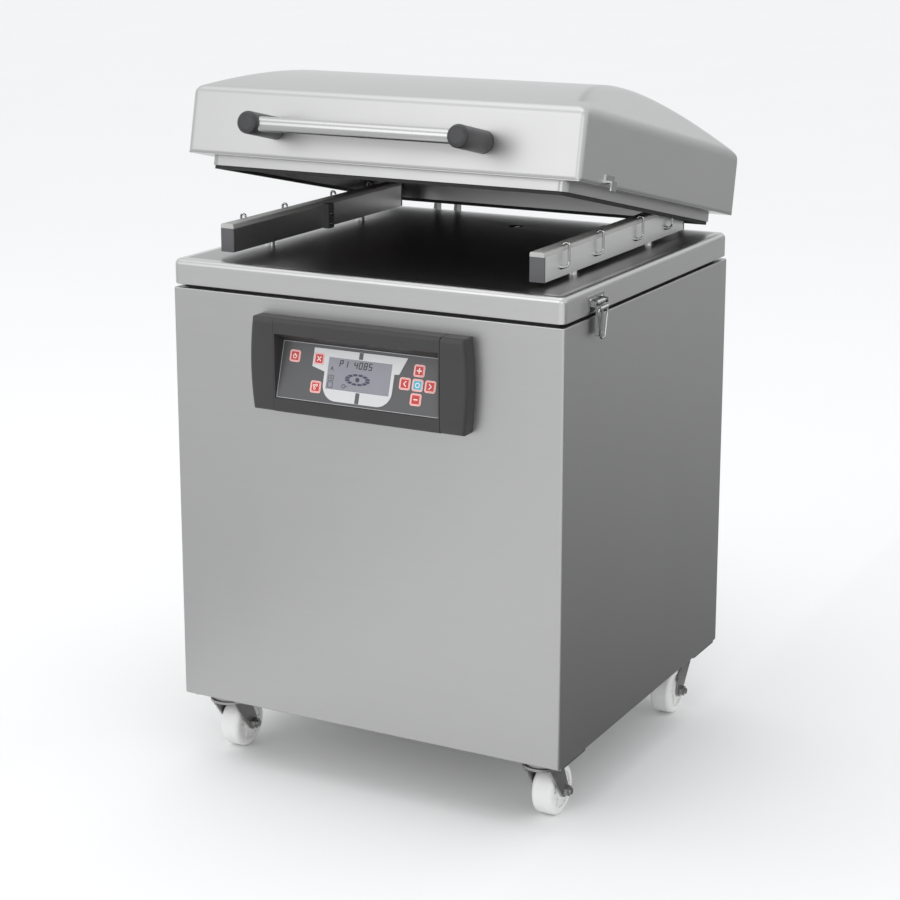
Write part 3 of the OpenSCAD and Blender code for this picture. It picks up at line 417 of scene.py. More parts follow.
def curvedPath(corners, bend, steps):
    # rounds the inner corners of a line of points
    points = [Vector(corners[0])]
    for before, at, after in zip(corners, corners[1:], corners[2:]):
        before, at, after = Vector(before), Vector(at), Vector(after)
        reach = min(bend, (before - at).length / 2.05, (after - at).length / 2.05)
        start, end = at + (before - at).normalized() * reach, at + (after - at).normalized() * reach
        for k in range(steps + 1):
            t = k / steps
            points.append(start * (1 - t) ** 2 + at * 2 * t * (1 - t) + end * t ** 2)
    return points + [Vector(corners[-1])]


def wire(mesh, points, radius, sides):
    # a round wire along points, with domed ends
    points = [Vector(p) for p in points]
    ways = [(b - a).normalized() for a, b in zip(points, points[1:])]
    tangents = [ways[0]] + [(a + b).normalized() for a, b in zip(ways, ways[1:])] + [ways[-1]]
    side = tangents[0].orthogonal().normalized()
    rings = []
    for point, way in zip(points, tangents):
        side = (side - way * side.dot(way)).normalized()
        other = way.cross(side)
        rings.append((point, way, side.copy(), other))

    def ring(centre, frameAt, r):
        return [centre + (frameAt[2] * math.cos(a) + frameAt[3] * math.sin(a)) * r
                for a in (2 * math.pi * i / sides for i in range(sides))]
    first, last = rings[0], rings[-1]
    dome = (1.4, 0.9, 0.45)  # angles of the rings that close an end
    loops = [ring(first[0] - first[1] * radius * math.sin(t), first, radius * math.cos(t)) for t in dome]
    loops += [ring(r[0], r, radius) for r in rings]
    loops += [ring(last[0] + last[1] * radius * math.sin(t), last, radius * math.cos(t))
              for t in dome[::-1]]
    loft(mesh, loops)


def roundedLoop(w, d, r, z, steps=8):
    loop = []
    for k, (sx, sy) in enumerate(((1, 1), (-1, 1), (-1, -1), (1, -1))):
        for i in range(steps + 1):
            a = math.pi / 2 * (k + i / steps)
            loop.append((sx * (w / 2 - r) + r * math.cos(a), sy * (d / 2 - r) + r * math.sin(a), z))
    return loop


def hexHead(mesh, place, across, height):
    corner = across / math.sqrt(3)
    outline = [(corner * math.cos(math.pi / 3 * i), corner * math.sin(math.pi / 3 * i)) for i in range(6)]
    washer = [(0, 0), (across * 0.78, 0), (across * 0.78, 1.0), (across * 0.5, 1.2), (0, 1.2)]
    lathe(mesh, washer, 24, place)
    levels = ((1, 1.2), (1, height - 0.6), (0.9, height))  # scale and height, with a small chamfer
    loft(mesh, [[place @ Vector((x * s, y * s, z)) for x, y in outline] for s, z in levels])


def panHead(mesh, place, radius=3.4, height=2.0):
    dome = [(0, 0), (radius, 0), (radius, 0.35 * height), (radius * 0.9, 0.75 * height)]
    drive = [(radius * 0.62, height), (radius * 0.34, height), (radius * 0.3, height * 0.45),
             (0, height * 0.45)]
    lathe(mesh, dome + drive, 20, place)


def facing(point, way):
    # stands a part's local z along way, at point
    return Matrix.Translation(point) @ Vector(way).to_track_quat("Z", "Y").to_matrix().to_4x4()


def evenShade(piece):  # large flat faces keep their own normals beside small bends
    weighted = piece.modifiers.new("shade", "WEIGHTED_NORMAL")
    weighted.keep_sharp = True
    weighted.weight = 90
    return piece


def thicken(piece, thickness, inner=0):  # thickness is in millimetres, inner picks the inside finish
    solid = piece.modifiers.new("sheet", "SOLIDIFY")
    solid.thickness = thickness / 1000
    solid.offset = -1
    solid.material_offset = inner
    return evenShade(piece)


lidShape = {"halfX": 329.5, "halfY": 310.0, "wall": 100.0, "rise": 64.0, "lift": 2.0, "hip": 1.05,
            "round": 9.0, "sheet": 2.0, "step": 9.0, "core": 18.0, "top": 118.0}
# how far the edge rolls in under the wall, and the height above the edge at each turn
lidRoll = ((0.3, 3.6), (1.6, 1.2), (4.0, 0.1), (12.0, 0.0))


def lidField(point):
    # below 0 inside the lid: upright walls, an arch from front to back and a sloping hip at each end
    s = lidShape
    x, y, z = np.abs(point[..., 0]), point[..., 1], point[..., 2]
    crown = s["wall"] + s["rise"]
    sag = s["rise"] - s["lift"]
    arch = (s["halfY"] ** 2 + sag ** 2) / (2 * sag)
    parts = np.stack([x - s["halfX"], np.abs(y) - s["halfY"],
                      (x + s["hip"] * (z - s["wall"]) - s["halfX"]) / math.hypot(1, s["hip"]),
                      np.hypot(y, z - (crown - arch)) - arch])
    r = s["round"]
    return np.minimum(parts.max(0), -r) + np.sqrt((np.maximum(parts + r, 0) ** 2).sum(0))


def spread(half, step, fine=14, count=6):
    # positions from -half to half, closer together near both ends
    inner = half - fine
    middle = np.linspace(-inner, inner, int(2 * inner / step) + 1)
    ends = np.linspace(inner, half, count + 1)[1:]
    return np.concatenate([-ends[::-1], middle, ends])


def buildLid():
    s = lidShape
    mesh = bmesh.new()
    cache = {}
    xs, ys = spread(s["halfX"], s["step"]), spread(s["halfY"], s["step"])
    zs = np.concatenate([np.linspace(6, 84, 9), np.linspace(88, s["top"], 13)])

    def onSkin(point):
        # where a ray from the core through point leaves the lid, found by halving
        key = tuple(round(v, 3) for v in point)
        if key in cache:
            return cache[key]
        target = np.array(point, float)
        start = np.array([0, 0, min(s["core"], target[2])])
        low, high = 0.3, 3.0
        for _ in range(34):
            mid = (low + high) / 2
            if lidField(start + (target - start) * mid) > 0:
                high = mid
            else:
                low = mid
        spot = start + (target - start) * low
        cache[key] = mesh.verts.new((spot[0], spot[1], spot[2] + lidEdge))
        return cache[key]

    def corners(i, j):
        return (i, j), (i + 1, j), (i + 1, j + 1), (i, j + 1)
    for i in range(len(xs) - 1):
        for j in range(len(ys) - 1):
            mesh.faces.new([onSkin((xs[a], ys[b], s["top"])) for a, b in corners(i, j)])
    for k in range(len(zs) - 1):
        for i in range(len(xs) - 1):
            for y in (-s["halfY"], s["halfY"]):
                mesh.faces.new([onSkin((xs[a], y, zs[b])) for a, b in corners(i, k)])
        for j in range(len(ys) - 1):
            for x in (-s["halfX"], s["halfX"]):
                mesh.faces.new([onSkin((x, ys[a], zs[b])) for a, b in corners(j, k)])
    rim = [e for e in mesh.edges if len(e.link_faces) == 1]
    for inset, drop in lidRoll:
        made = bmesh.ops.extrude_edge_only(mesh, edges=rim)["geom"]
        for vert in (g for g in made if isinstance(g, bmesh.types.BMVert)):
            limitX, limitY = s["halfX"] - inset, s["halfY"] - inset
            vert.co.x = max(-limitX, min(limitX, vert.co.x))
            vert.co.y = max(-limitY, min(limitY, vert.co.y))
            vert.co.z = lidEdge + drop
        rim = [g for g in made if isinstance(g, bmesh.types.BMEdge) and len(g.link_faces) == 1]
    # the inner face takes the near-black painted shade
    return addPiece("lidSkin", mesh, "lid", "lid", atLid, ["lid_shell"], angle=60, extra=["lidInsidePaintedShade"])


thicken(buildLid(), lidShape["sheet"], inner=1)
print("lid made")


plateShape = {"skirt": 39.0, "corner": 10.0, "round": 9.0, "flat": 16.0, "sheet": 3.0, "port": 13.0,
              "portY": 200.0, "pinX": 262.5, "pinY": 140.0, "pinHole": 11.0, "holeSteps": 32}


def buildPlate():
    s = plateShape
    mesh = bmesh.new()
    low = plateTop - s["skirt"]
    arc = [(s["round"] * (1 - math.cos(a)), plateTop - s["round"] * (1 - math.sin(a)))
           for a in (math.pi / 2 * i / 7 for i in range(8))]
    levels = [(1.4, low), (0.4, low + 0.5), (0, low + 1.6)] + arc + [(s["flat"], plateTop)]
    loops = [roundedLoop(2 * (halfWidth - i), 2 * (halfDepth - i), max(s["corner"] - i, 2.0), z)
             for i, z in levels]
    edge = loft(mesh, loops, caps=False)[-1]
    border = [mesh.edges.get((edge[i], edge[(i + 1) % len(edge)])) for i in range(len(edge))]
    holes = [(0, s["portY"], s["port"])]
    holes += [(sx * s["pinX"], sy * s["pinY"], s["pinHole"]) for sx in (-1, 1) for sy in (-1, 1)]
    turns = [2 * math.pi * i / s["holeSteps"] for i in range(s["holeSteps"])]
    for x, y, radius in holes:
        ring = [mesh.verts.new((x + radius * math.cos(a), y + radius * math.sin(a), plateTop))
                for a in turns]
        border += [mesh.edges.new((ring[i], ring[(i + 1) % len(ring)])) for i in range(len(ring))]
    made = bmesh.ops.triangle_fill(mesh, use_beauty=True, use_dissolve=False, edges=border)
    for face in (g for g in made["geom"] if isinstance(g, bmesh.types.BMFace)):
        face.material_index = 1
    return addPiece("workPan", mesh, "skirt", "cabinet", atCabinet, ["work_plate"],
                    angle=40, extra=["plate"])


thicken(buildPlate(), plateShape["sheet"])

# a ring with a row of wires in the suction port; heights are below the plate's top
strainer = {"outer": 12.8, "lip": 12.2, "inner": 10.2, "foot": 6, "shoulder": 1.2, "top": 0.8,
            "reach": 11.2, "pitch": 3.1, "wire": 0.7, "wireDrop": 2.6}


def buildStrainer():
    s, y = strainer, plateShape["portY"]
    mesh = bmesh.new()
    foot, shoulder, top, z = (plateTop - s[key] for key in ("foot", "shoulder", "top", "wireDrop"))
    ring = [(s["outer"], foot), (s["outer"], shoulder), (s["lip"], top), (s["inner"], top),
            (s["inner"], foot)]
    lathe(mesh, ring, 32, Matrix.Translation((0, y, 0)))
    for k in range(-3, 4):
        x = s["pitch"] * k
        half = math.sqrt(s["reach"] ** 2 - x ** 2)
        wire(mesh, [(x, y - half, z), (x, y + half, z)], s["wire"], 6)
    addPiece("portStrainer", mesh, "chrome", "cabinet")


buildStrainer()
print("work plate made")


cabinetShape = {"corner": 4.0, "sheet": 1.5, "bend": 2.0, "flange": 12.0, "footFlange": 10,
                "row": 300, "windowLow": 619.0, "windowHigh": 714.0, "windowHalf": 129.0}


def buildCabinet():
    # the wrap's front and two sides, with bent edges and a window behind the panel
    s = cabinetShape
    mesh = bmesh.new()
    b, middle = s["bend"], panel["middle"]
    levels = [(s["footFlange"], floorGap), (b, floorGap), (b * 0.3, floorGap + b * 0.3), (0, floorGap + b),
              (0, s["row"]), (0, s["windowLow"]), (0, s["windowHigh"]), (0, cabinetTop - b),
              (b * 0.3, cabinetTop - b * 0.3), (b, cabinetTop), (s["flange"], cabinetTop)]

    def path(inset):
        r = max(s["corner"] - inset, 0.25)
        x, y = halfWidth - inset, -halfDepth + inset
        left = [(-x, halfDepth), (-x, 0)]
        left += [(-x + r - r * math.cos(a), y + r - r * math.sin(a))
                 for a in (math.pi / 2 * i / 6 for i in range(7))]
        right = [(-px, py) for px, py in left[::-1]]
        return left + [(middle - s["windowHalf"], y), (middle + s["windowHalf"], y)] + right

    def inWindow(face):
        spot = face.calc_center_median()
        return abs(spot.x - middle) < 1 and s["windowLow"] < spot.z < s["windowHigh"] and spot.y < 0
    loft(mesh, [[(x, y, z) for x, y in path(inset)] for inset, z in levels], closed=False, caps=False)
    bmesh.ops.delete(mesh, geom=[f for f in mesh.faces if inWindow(f)], context="FACES")
    return addPiece("cabinetSkin", mesh, "sheet", "cabinet", atCabinet, ["cabinet_wrap"], angle=50)


thicken(buildCabinet(), cabinetShape["sheet"])

fixing = {"edge": 318, "inner": 106, "foot": 22, "head": 24, "between": (220, 430),
          "latchX": 332, "latchY": -210, "latchGap": 20, "latchDrop": 18}


def buildFixings():
    # screws of the rear panel, then those of the latch bases
    s = fixing
    mesh = bmesh.new()
    for x in (-s["edge"], -s["inner"], s["inner"], s["edge"]):
        for z in (floorGap + s["foot"], cabinetTop - s["head"]):
            panHead(mesh, facing((x, halfDepth, z), (0, 1, 0)))
    for height in s["between"]:
        for x in (-s["edge"], s["edge"]):
            panHead(mesh, facing((x, halfDepth, floorGap + height), (0, 1, 0)))
    for sx in (-1, 1):
        for sy in (-s["latchGap"], s["latchGap"]):
            spot = (sx * s["latchX"], s["latchY"] + sy, plateTop - s["latchDrop"])
            panHead(mesh, facing(spot, (sx, 0, 0)), 2.6, 1.4)
    addPiece("panelScrews", mesh, "chrome", "cabinet")


buildFixings()

vent = {"width": 74, "pitch": 13, "rows": 12, "low": 120, "rise": 5, "middles": (109.5, 197.5), "out": 3.2}


def buildVents():
    # pressed lips over the rear slots
    s = vent
    mesh = bmesh.new()
    half, out = s["width"] / 2, s["out"]
    section = [(0, 3.4), (1.8, 3.0), (out, 1.2), (out + 0.3, -1.6), (out - 0.5, -1.6),
               (out - 0.7, 0.6), (0, 2.2)]
    for middle in s["middles"]:
        for row in range(s["rows"]):
            z = floorGap + s["low"] + row * s["pitch"] + s["rise"]
            turn = Matrix(((0, 0, 1, 0), (1, 0, 0, halfDepth), (0, 1, 0, z), (0, 0, 0, 1)))
            prism(mesh, section, middle - half, middle + half, turn)
    addPiece("rearVents", mesh, "side", "cabinet", soften=0.3, steps=2)


buildVents()
print("cabinet made")


def buildCaps():
    # the panel's two end caps, bowed outwards and rounded at the front
    mesh = bmesh.new()
    count = 12
    height = panel["high"] - panel["low"]
    turn = Matrix.Translation((panel["middle"], -halfDepth, 0)) @ Matrix.Rotation(math.radians(90), 4, "X")
    for side in (-1, 1):
        inner = side * (panel["half"] + 0.3)
        outline = [(inner, panel["low"]), (inner, panel["high"])]
        for i in range(count + 1):
            t = 1 - 2 * i / count
            bow = side * (panel["edge"] - panel["capSag"] * t * t)
            outline.append((bow, panel["low"] + height * (t + 1) / 2))
        prism(mesh, outline, 0.0, panel["out"], turn)
    bmesh.ops.recalc_face_normals(mesh, faces=mesh.faces)
    seam = panel["half"] + 2
    front = -halfDepth - panel["out"] + 1

    def isEnd(edge):
        return (all(v.co.y < front for v in edge.verts)
                and any(abs(v.co.x - panel["middle"]) > seam for v in edge.verts))
    bmesh.ops.bevel(mesh, geom=[e for e in mesh.edges if isEnd(e)], offset=panel["capRound"], segments=6,
                    profile=0.5, affect="EDGES", clamp_overlap=True)
    return addPiece("bezelCaps", mesh, "charcoal", "cabinet", atCabinet, ["bezel_end_caps"],
                    soften=0.8, steps=2, angle=50)


evenShade(buildCaps())


def strip(mesh, points, width, low, high):
    # a printed line of constant width through points
    points = [Vector(p) for p in points]
    for a, b in zip(points, points[1:]):
        way = (b - a).normalized() * width / 2
        side = Vector((-way.y, way.x))
        start, end = a - way * 0.7, b + way * 0.7
        prism(mesh, [start - side, end - side, end + side, start + side], low, high)


def frameRing(mesh, w, d, r, width, cx, cy, low, high):
    # a rounded frame of size w by d about cx, cy
    outer = roundedLoop(w, d, r, 0, 5)
    inner = roundedLoop(w - 2 * width, d - 2 * width, max(r - width, 0.3), 0, 5)
    sides = ((outer, low), (outer, high), (inner, high), (inner, low), (outer, low))
    loft(mesh, [[(x + cx, y + cy, z) for x, y, _ in loop] for loop, z in sides], caps=False)


filmShape = {"w": 274, "h": 85.4, "round": 0.8, "line": 0.7, "low": 0.02, "high": 0.2}
filmEdge = bmesh.new()
frameRing(filmEdge, filmShape["w"], filmShape["h"], filmShape["round"], filmShape["line"],
          0, panel["padLength"] / 2, filmShape["low"], filmShape["high"])
addPiece("filmLine", filmEdge, "line", "cabinet", atPad)

# places on the pad run across (x) and up its slope (v)
display = {"x": -1.5, "v": 46, "w": 107, "h": 47, "text": "P1 4085", "textX": 19, "textV": 34.5,
           "pitch": 8.2, "digit": 1.15, "slant": 0.12, "stroke": 1.5, "low": 0.6, "high": 0.72,
           "dialX": 52, "dialV": 18, "dialWide": 1.75, "dialTall": 0.7, "dialIn": 8, "dialOut": 12}
segments = {"a": ((0, 8), (4, 8)), "b": ((4, 8), (4, 4)), "c": ((4, 4), (4, 0)), "d": ((0, 0), (4, 0)),
            "e": ((0, 0), (0, 4)), "f": ((0, 4), (0, 8)), "g": ((0, 4), (4, 4))}
digits = {"P": "abefg", "0": "abcdef", "1": "bc", "4": "bcfg", "8": "abcdefg", "5": "acdfg"}


def digit(mesh, sign, x, y):
    s = display

    def slope(p):
        return (x + p.x + p.y * s["slant"], y + p.y)
    for name in digits[sign]:
        a, b = (Vector(p) * s["digit"] for p in segments[name])
        way = (b - a) * 0.1
        strip(mesh, [slope(a + way), slope(b - way)], s["stroke"], s["low"], s["high"])


def buildDisplay():
    # segment digits, four small symbols and a ring of twelve segments
    s = display
    left, foot = s["x"] - s["w"] / 2, s["v"] - s["h"] / 2
    layer = s["low"], s["high"]
    ink, violet = bmesh.new(), bmesh.new()
    for i, sign in enumerate(s["text"]):
        if sign != " ":
            digit(ink, sign, left + s["textX"] + i * s["pitch"], foot + s["textV"])
    for v in (6.5, 16.5):
        frameRing(ink, 9, 8.6, 1.2, 0.8, left + 7, foot + v, *layer)
    frameRing(ink, 3.6, 3.6, 1.7, 0.7, left + 7, foot + 16.5, *layer)
    frameRing(ink, 6.4, 6.4, 3.1, 0.9, left + 30, foot + 6.5, *layer)
    strip(ink, [(left + 33, foot + 6.5), (left + 36, foot + 6.5)], 0.9, *layer)
    strip(ink, [(left + 5, foot + 28), (left + 7, foot + 33), (left + 9, foot + 28)], 1.0, *layer)
    dialX, dialV = left + s["dialX"], foot + s["dialV"]

    def onDial(r, a):
        return (dialX + r * s["dialWide"] * math.cos(a), dialV + r * s["dialTall"] * math.sin(a))
    near, far = s["dialIn"], s["dialOut"]
    for i in range(12):
        a0, a1 = math.radians(i * 30 + 3), math.radians(i * 30 + 27)
        tip = onDial(far + 0.2, (a0 + a1) / 2)
        prism(violet, [onDial(near, a0), onDial(far, a0), tip, onDial(far, a1), onDial(near, a1)], *layer)
    hub = [(0, s["high"]), (3.4, s["high"]), (3.4, s["low"])]
    lathe(violet, hub, 24, Matrix.Translation((dialX, dialV, 0)))
    addPiece("displayMarks", ink, "ink", "cabinet", atPad)
    addPiece("displayDial", violet, "inkViolet", "cabinet", atPad)


buildDisplay()

tickShape = {"half": 3.4, "low": 0.75, "high": 0.9, "places": ((-1.5, 70.6, 80.6), (0.5, 5.4, 21.4))}
ticks = bmesh.new()  # dark bars across the silver surround
for x, v0, v1 in tickShape["places"]:
    x0, x1 = x - tickShape["half"], x + tickShape["half"]
    prism(ticks, [(x0, v0), (x1, v0), (x1, v1), (x0, v1)], tickShape["low"], tickShape["high"])
addPiece("surroundTicks", ticks, "film", "cabinet", atPad)

keyShape = {"size": 15.0, "top": 0.7, "round": 2.2, "rim": 1.1, "sign": 0.16,
            "gap": 3.0, "gapRound": 3.4, "gapRim": 1.2}
keySpots = {"power": (-114, 65), "stop": (-72, 65), "program": (-72, 23), "plus": (97, 65),
            "left": (76, 44), "enter": (97, 44), "right": (118, 44), "minus": (97, 23)}


def keySign(mesh, name, x, v):
    layer = keyShape["top"], keyShape["top"] + keyShape["sign"]

    def line(points, width=1.5):
        strip(mesh, [(x + a, v + b) for a, b in points], width, *layer)
    if name == "power":
        frameRing(mesh, 7, 7, 3.4, 1.1, x, v - 0.4, *layer)
        line([(0, 0), (0, 3.6)], 1.2)
    elif name == "stop":
        line([(-2.8, -3), (2.8, 3)])
        line([(-2.8, 3), (2.8, -3)])
    elif name == "program":
        for dx, dv in ((-2.6, 1.8), (1.8, 2.6), (-1.4, -2.4)):
            frameRing(mesh, 4, 4, 1.8, 0.9, x + dx, v + dv, *layer)
    elif name == "plus":
        line([(-3.4, 0), (3.4, 0)], 1.8)
        line([(0, -3.4), (0, 3.4)], 1.8)
    elif name == "minus":
        line([(-2.6, 0), (2.6, 0)], 1.8)
    elif name == "left":
        line([(1.8, 3.6), (-1.8, 0), (1.8, -3.6)])
    elif name == "right":
        line([(-1.8, 3.6), (1.8, 0), (-1.8, -3.6)])
    else:
        frameRing(mesh, 7.6, 7.6, 3.7, 1.2, x, v, *layer)


def buildKeys():
    # a rim and a sign that move with each key, and an outline on the film around it
    s = keyShape
    top, rim, gap = s["top"], s["size"] - 0.1, s["size"] + s["gap"]
    outlines = bmesh.new()
    for name, (x, v) in keySpots.items():
        rims, signs = bmesh.new(), bmesh.new()
        frameRing(rims, rim, rim, s["round"], s["rim"], x, v, top - 0.25, top + 0.14)
        frameRing(outlines, gap, gap, s["gapRound"], s["gapRim"], x, v, 0.02, top * 0.8)
        keySign(signs, name, x, v)
        addPiece("keyEdge." + name, rims, "keyRim", "key_" + name, atPad)
        addPiece("keySign." + name, signs, "keyMark", "key_" + name, atPad)
    addPiece("keyOutlines", outlines, "keyRim", "cabinet", atPad)


buildKeys()
print("control panel made")


clipShape = {"wire": 1.9, "face": 274.0, "off": 281.3, "low": 833.5, "top": 867.4, "bend": 12.0,
             "places": (-195, -75, 75, 195)}
barScrew = {"x": 241, "y": 8.5, "levels": (14, 30), "radius": 2.6, "height": 1.3}


def buildClips(side, sign):
    # four wire clips, each with a collar where it enters the bar
    s = clipShape
    mesh = bmesh.new()
    for y in s["places"]:
        corners = [(s["face"] + 2, y - 12, s["low"]), (s["off"] - 1, y - 9, s["low"]),
                   (s["off"], y, s["low"] + 3), (s["off"], y, s["top"]), (s["face"] + 1, y, s["top"]),
                   (s["face"] - 1.4, y - 1, s["top"] - 2.6)]
        path = curvedPath(corners, s["bend"], 8)
        wire(mesh, [(sign * p.x, p.y, p.z) for p in path], s["wire"], 12)
        turn = facing((sign * (s["face"] - 0.5), y - 12, s["low"]), (sign, 0, 0))
        collar = [(0, 0), (3.5, 0), (3.5, 1.6), (2.9, 2.2), (2.6, 2.2), (2.6, 4.6), (2.1, 5.2), (0, 5.2)]
        lathe(mesh, collar, 20, turn)
    addPiece("clipWires_" + side, mesh, "chrome", "seal_bar_" + side, atCabinet, ["bag_clips_" + side],
             angle=60)


def buildBarScrews(side, sign):
    s = barScrew
    mesh = bmesh.new()
    for dz in s["levels"]:
        spot = (sign * s["x"], s["y"], plateTop + dz)
        panHead(mesh, facing(spot, (-sign, 0, 0)), s["radius"], s["height"])
    addPiece("barScrews_" + side, mesh, "chrome", "seal_bar_" + side)


for side, sign in (("left", -1), ("right", 1)):
    buildClips(side, sign)
    buildBarScrews(side, sign)
print("seal bars made")


postShape = {"x": 174.0, "radius": 17.0, "length": 85.0, "z": 45.0, "crown": 7.0, "bore": 4.5}


def buildPosts():
    s = postShape
    mesh = bmesh.new()
    r = s["radius"]
    for sign in (-1, 1):
        turn = facing((sign * s["x"], -lidShape["halfY"], lidEdge + s["z"]), (0, -1, 0))
        base = [(0, 0), (r, 0), (r, 2), (r - 0.8, 3), (r - 0.8, 4.2), (r, 5.4)]
        crown = [(r - s["crown"] * (1 - math.cos(a)), s["length"] - s["crown"] * (1 - math.sin(a)))
                 for a in (math.pi / 2 * i / 8 for i in range(9))]
        lathe(mesh, base + crown + [(s["bore"], s["length"]), (0, s["length"])], 56, turn)
    addPiece("handlePosts", mesh, "post", "lid", atLid, ["handle_posts"], angle=50)


buildPosts()
print("handle made")


springShape = {"start": 172.0, "turns": 14, "pitch": 4.8, "radius": 14.5, "wire": 2.2, "steps": 20}
hingeBolt = {"x": 211, "spread": 35, "levels": (-32, 22), "armLevels": (22, 62)}


def buildSprings():
    s = springShape
    mesh = bmesh.new()
    for sign in (-1, 1):
        helix = []
        for i in range(s["turns"] * s["steps"] + 1):
            a = 2 * math.pi * i / s["steps"]
            along = sign * (s["start"] - s["wire"] - s["pitch"] * i / s["steps"])
            helix.append((along, hingeY + s["radius"] * math.sin(a), hingeZ - s["radius"] * math.cos(a)))
        x, z = helix[0][0], hingeZ - s["radius"]
        wire(mesh, [(x, halfDepth + 1.2, z), (x, hingeY - 6, z)] + helix, s["wire"], 9)
    addPiece("torsionSprings", mesh, "spring", "cabinet", atCabinet, ["hinge_springs"], angle=60)


def buildHingeBolts():
    s = hingeBolt
    onCabinet, onLid = bmesh.new(), bmesh.new()
    for sign in (-1, 1):
        for dx in (-s["spread"], s["spread"]):
            for dz in s["levels"]:
                spot = (sign * (s["x"] + dx), halfDepth + 5, hingeZ + dz)
                hexHead(onCabinet, facing(spot, (0, 1, 0)), 8, 5)
        for dz in s["armLevels"]:
            spot = (sign * s["x"], lidShape["halfY"] + 5, lidEdge + dz)
            hexHead(onLid, facing(spot, (0, 1, 0)), 9, 5.5)
    addPiece("bracketBolts", onCabinet, "zinc", "cabinet")
    addPiece("armBolts", onLid, "zinc", "lid", atLid)


buildSprings()
buildHingeBolts()
print("hinge made")


casterBolt = {"x": 279, "y": 261, "spreadX": 40, "spreadY": 30, "plate": 3, "across": 9, "height": 5}
hubShape = {"face": 16.4, "ribs": 6, "ribLow": (16.5, -1.3, -2.8), "ribHigh": (27.5, 1.3, -0.2)}


def buildCasterBolts():
    s = casterBolt
    mesh = bmesh.new()
    for sx in (-1, 1):
        for sy in (-1, 1):
            for dx in (-s["spreadX"], s["spreadX"]):
                for dy in (-s["spreadY"], s["spreadY"]):
                    spot = (sx * s["x"] + dx, sy * s["y"] + dy, floorGap - s["plate"])
                    hexHead(mesh, facing(spot, (0, 0, -1)), s["across"], s["height"])
    addPiece("casterBolts", mesh, "zinc", "cabinet")


def buildHub(corner):
    # a raised ring and ribs on both faces of a wheel
    s = hubShape
    low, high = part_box("caster_wheel_" + corner)
    centre = [(low[i] + high[i]) * 500 for i in range(3)]
    ring = [(5.4, 0), (5.4, 1.5), (7.5, 1.8), (12.5, 1.6), (15, 0.6), (15, 0)]
    mesh = bmesh.new()
    for face in (-1, 1):
        place = facing((centre[0] + face * s["face"], centre[1] - middleY * 1000, centre[2]), (face, 0, 0))
        lathe(mesh, ring, 40, place)
        for k in range(s["ribs"]):
            rib = place @ Matrix.Rotation(2 * math.pi / s["ribs"] * k, 4, "Z")
            block(mesh, s["ribLow"], s["ribHigh"], rib)
    addPiece("hub." + corner, mesh, "nylon", "caster_wheel_" + corner, angle=40)


buildCasterBolts()
for corner in ("fl", "fr", "rl", "rr"):
    buildHub(corner)
print("casters made")


bailShape = {"wire": 1.45, "inset": 1.6, "foot": 7.0, "shoulder": 8, "bend": 4.0}


def buildBail(side):
    s = bailShape
    low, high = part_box("latch_bail_" + side)
    x = (low.x + high.x) * 500
    y0, y1 = (low.y - middleY) * 1000 + s["inset"], (high.y - middleY) * 1000 - s["inset"]
    z0, z1 = low.z * 1000 + s["inset"], high.z * 1000 - s["inset"]
    middle, shoulder = (y0 + y1) / 2, z1 - s["shoulder"]
    corners = [(x, middle, z1), (x, y1, z1), (x, y1, shoulder), (x, middle + s["foot"], z0),
               (x, middle - s["foot"], z0), (x, y0, shoulder), (x, y0, z1), (x, middle, z1)]
    mesh = bmesh.new()
    wire(mesh, curvedPath(corners, s["bend"], 5), s["wire"], 12)
    addPiece("bailWire_" + side, mesh, "chrome", "latch_bail_" + side, atCabinet, ["latch_bail_" + side],
             angle=60)


for side in ("left", "right"):
    buildBail(side)
print("latches made")


def stageMesh(name, mesh, material):
    data = bpy.data.meshes.new(name)
    mesh.to_mesh(data)
    mesh.free()
    thing = bpy.data.objects.new(name, data)
    bpy.context.scene.collection.objects.link(thing)
    data.materials.append(material)
    return thing


def plainFloor():
    r = Recipe("paleFloor")
    soft = r.noise(1.3, 2)
    return r.finish(Base_Color=r.mix(soft, (0.90, 0.90, 0.90, 1), (0.92, 0.92, 0.92, 1)),
                    Roughness=r.between(soft, 0.8, 0.9))


def cardTone(near, far, reach):
    r = Recipe("card")
    away = r.node("ShaderNodeSeparateXYZ", {}, {0: r.where()})["Y"] / reach
    return r.finish(Base_Color=r.mix(away, grey(near), grey(far)), Roughness=0.9)


ground = bmesh.new()
bmesh.ops.create_grid(ground, x_segments=2, y_segments=2, size=40)
stageMesh("floor", ground, plainFloor())

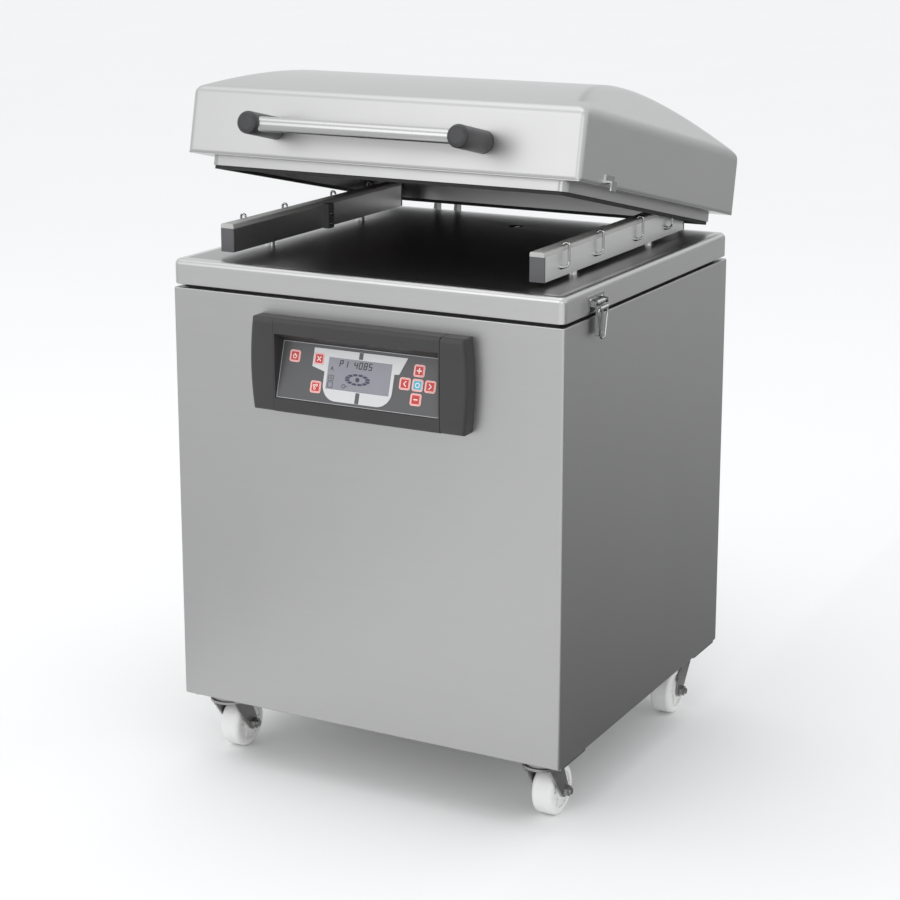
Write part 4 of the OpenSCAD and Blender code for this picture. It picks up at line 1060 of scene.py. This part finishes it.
# dim cards that only show in the glossy steel, beside the right side and before the left end of the front
cardLift = 0.004
sideFlag, frontFlag = bmesh.new(), bmesh.new()
sidePath = ((-0.6, cardLift), (3.0, cardLift), (7.0, cardLift), (7.6, 0.6), (7.8, 2.6))
loft(sideFlag, [[(0.34, y, z), (9, y, z)] for y, z in sidePath], closed=False, caps=False)
frontPath = (-0.33, -4.0, -9.0)
loft(frontFlag, [[(-9, y, cardLift), (-0.55, y, cardLift)] for y in frontPath], closed=False, caps=False)
for card in (stageMesh("sideCard", sideFlag, cardTone(0.17, 0.5, 4.0)),
             stageMesh("frontCard", frontFlag, cardTone(0.6, 0.8, -8.0))):
    for seen in ("visible_camera", "visible_diffuse", "visible_shadow", "visible_transmission"):
        setattr(card, seen, False)


def softLight(name, spot, aim, size, power):
    lamp = bpy.data.lights.new(name, "AREA")
    lamp.shape, lamp.size, lamp.size_y = "RECTANGLE", size, size
    lamp.energy = power
    thing = bpy.data.objects.new(name, lamp)
    bpy.context.scene.collection.objects.link(thing)
    thing.location = spot
    thing.rotation_euler = (Vector(aim) - Vector(spot)).to_track_quat("-Z", "Y").to_euler()


softLight("topSoft", (-0.4, -0.6, 4.2), (0, 0, 0.6), 3.4, 30)
softLight("frontSoft", (-1.5, -4.4, 2.4), (0, 0, 0.7), 2.6, 24)
softLight("rightSoft", (2.4, -4.2, 1.8), (0.2, 0, 0.9), 1.6, 14)

world = bpy.data.worlds.new("studio")
bpy.context.scene.world = world
world.use_nodes = True
sky = world.node_tree.nodes["Background"]
sky.inputs["Color"].default_value = (0.98, 0.99, 1.0, 1)
sky.inputs["Strength"].default_value = 1.0
bpy.context.scene.view_settings.view_transform = "Standard"

view = {"yaw": 28.09, "pitch": 12.96, "lens": 86.18, "spot": (1.5683, -2.9785, 1.3979), "shift": -0.1}
camera = bpy.data.objects.new("camera", bpy.data.cameras.new("camera"))
bpy.context.scene.collection.objects.link(camera)
camera.data.lens, camera.data.shift_y = view["lens"], view["shift"]
camera.location = view["spot"]
yaw, pitch = math.radians(view["yaw"]), math.radians(view["pitch"])
camera.rotation_euler = (math.pi / 2 - pitch, 0, yaw)
camera.data.clip_start, camera.data.clip_end = 0.05, 200
bpy.context.scene.camera = camera

print("stage made")
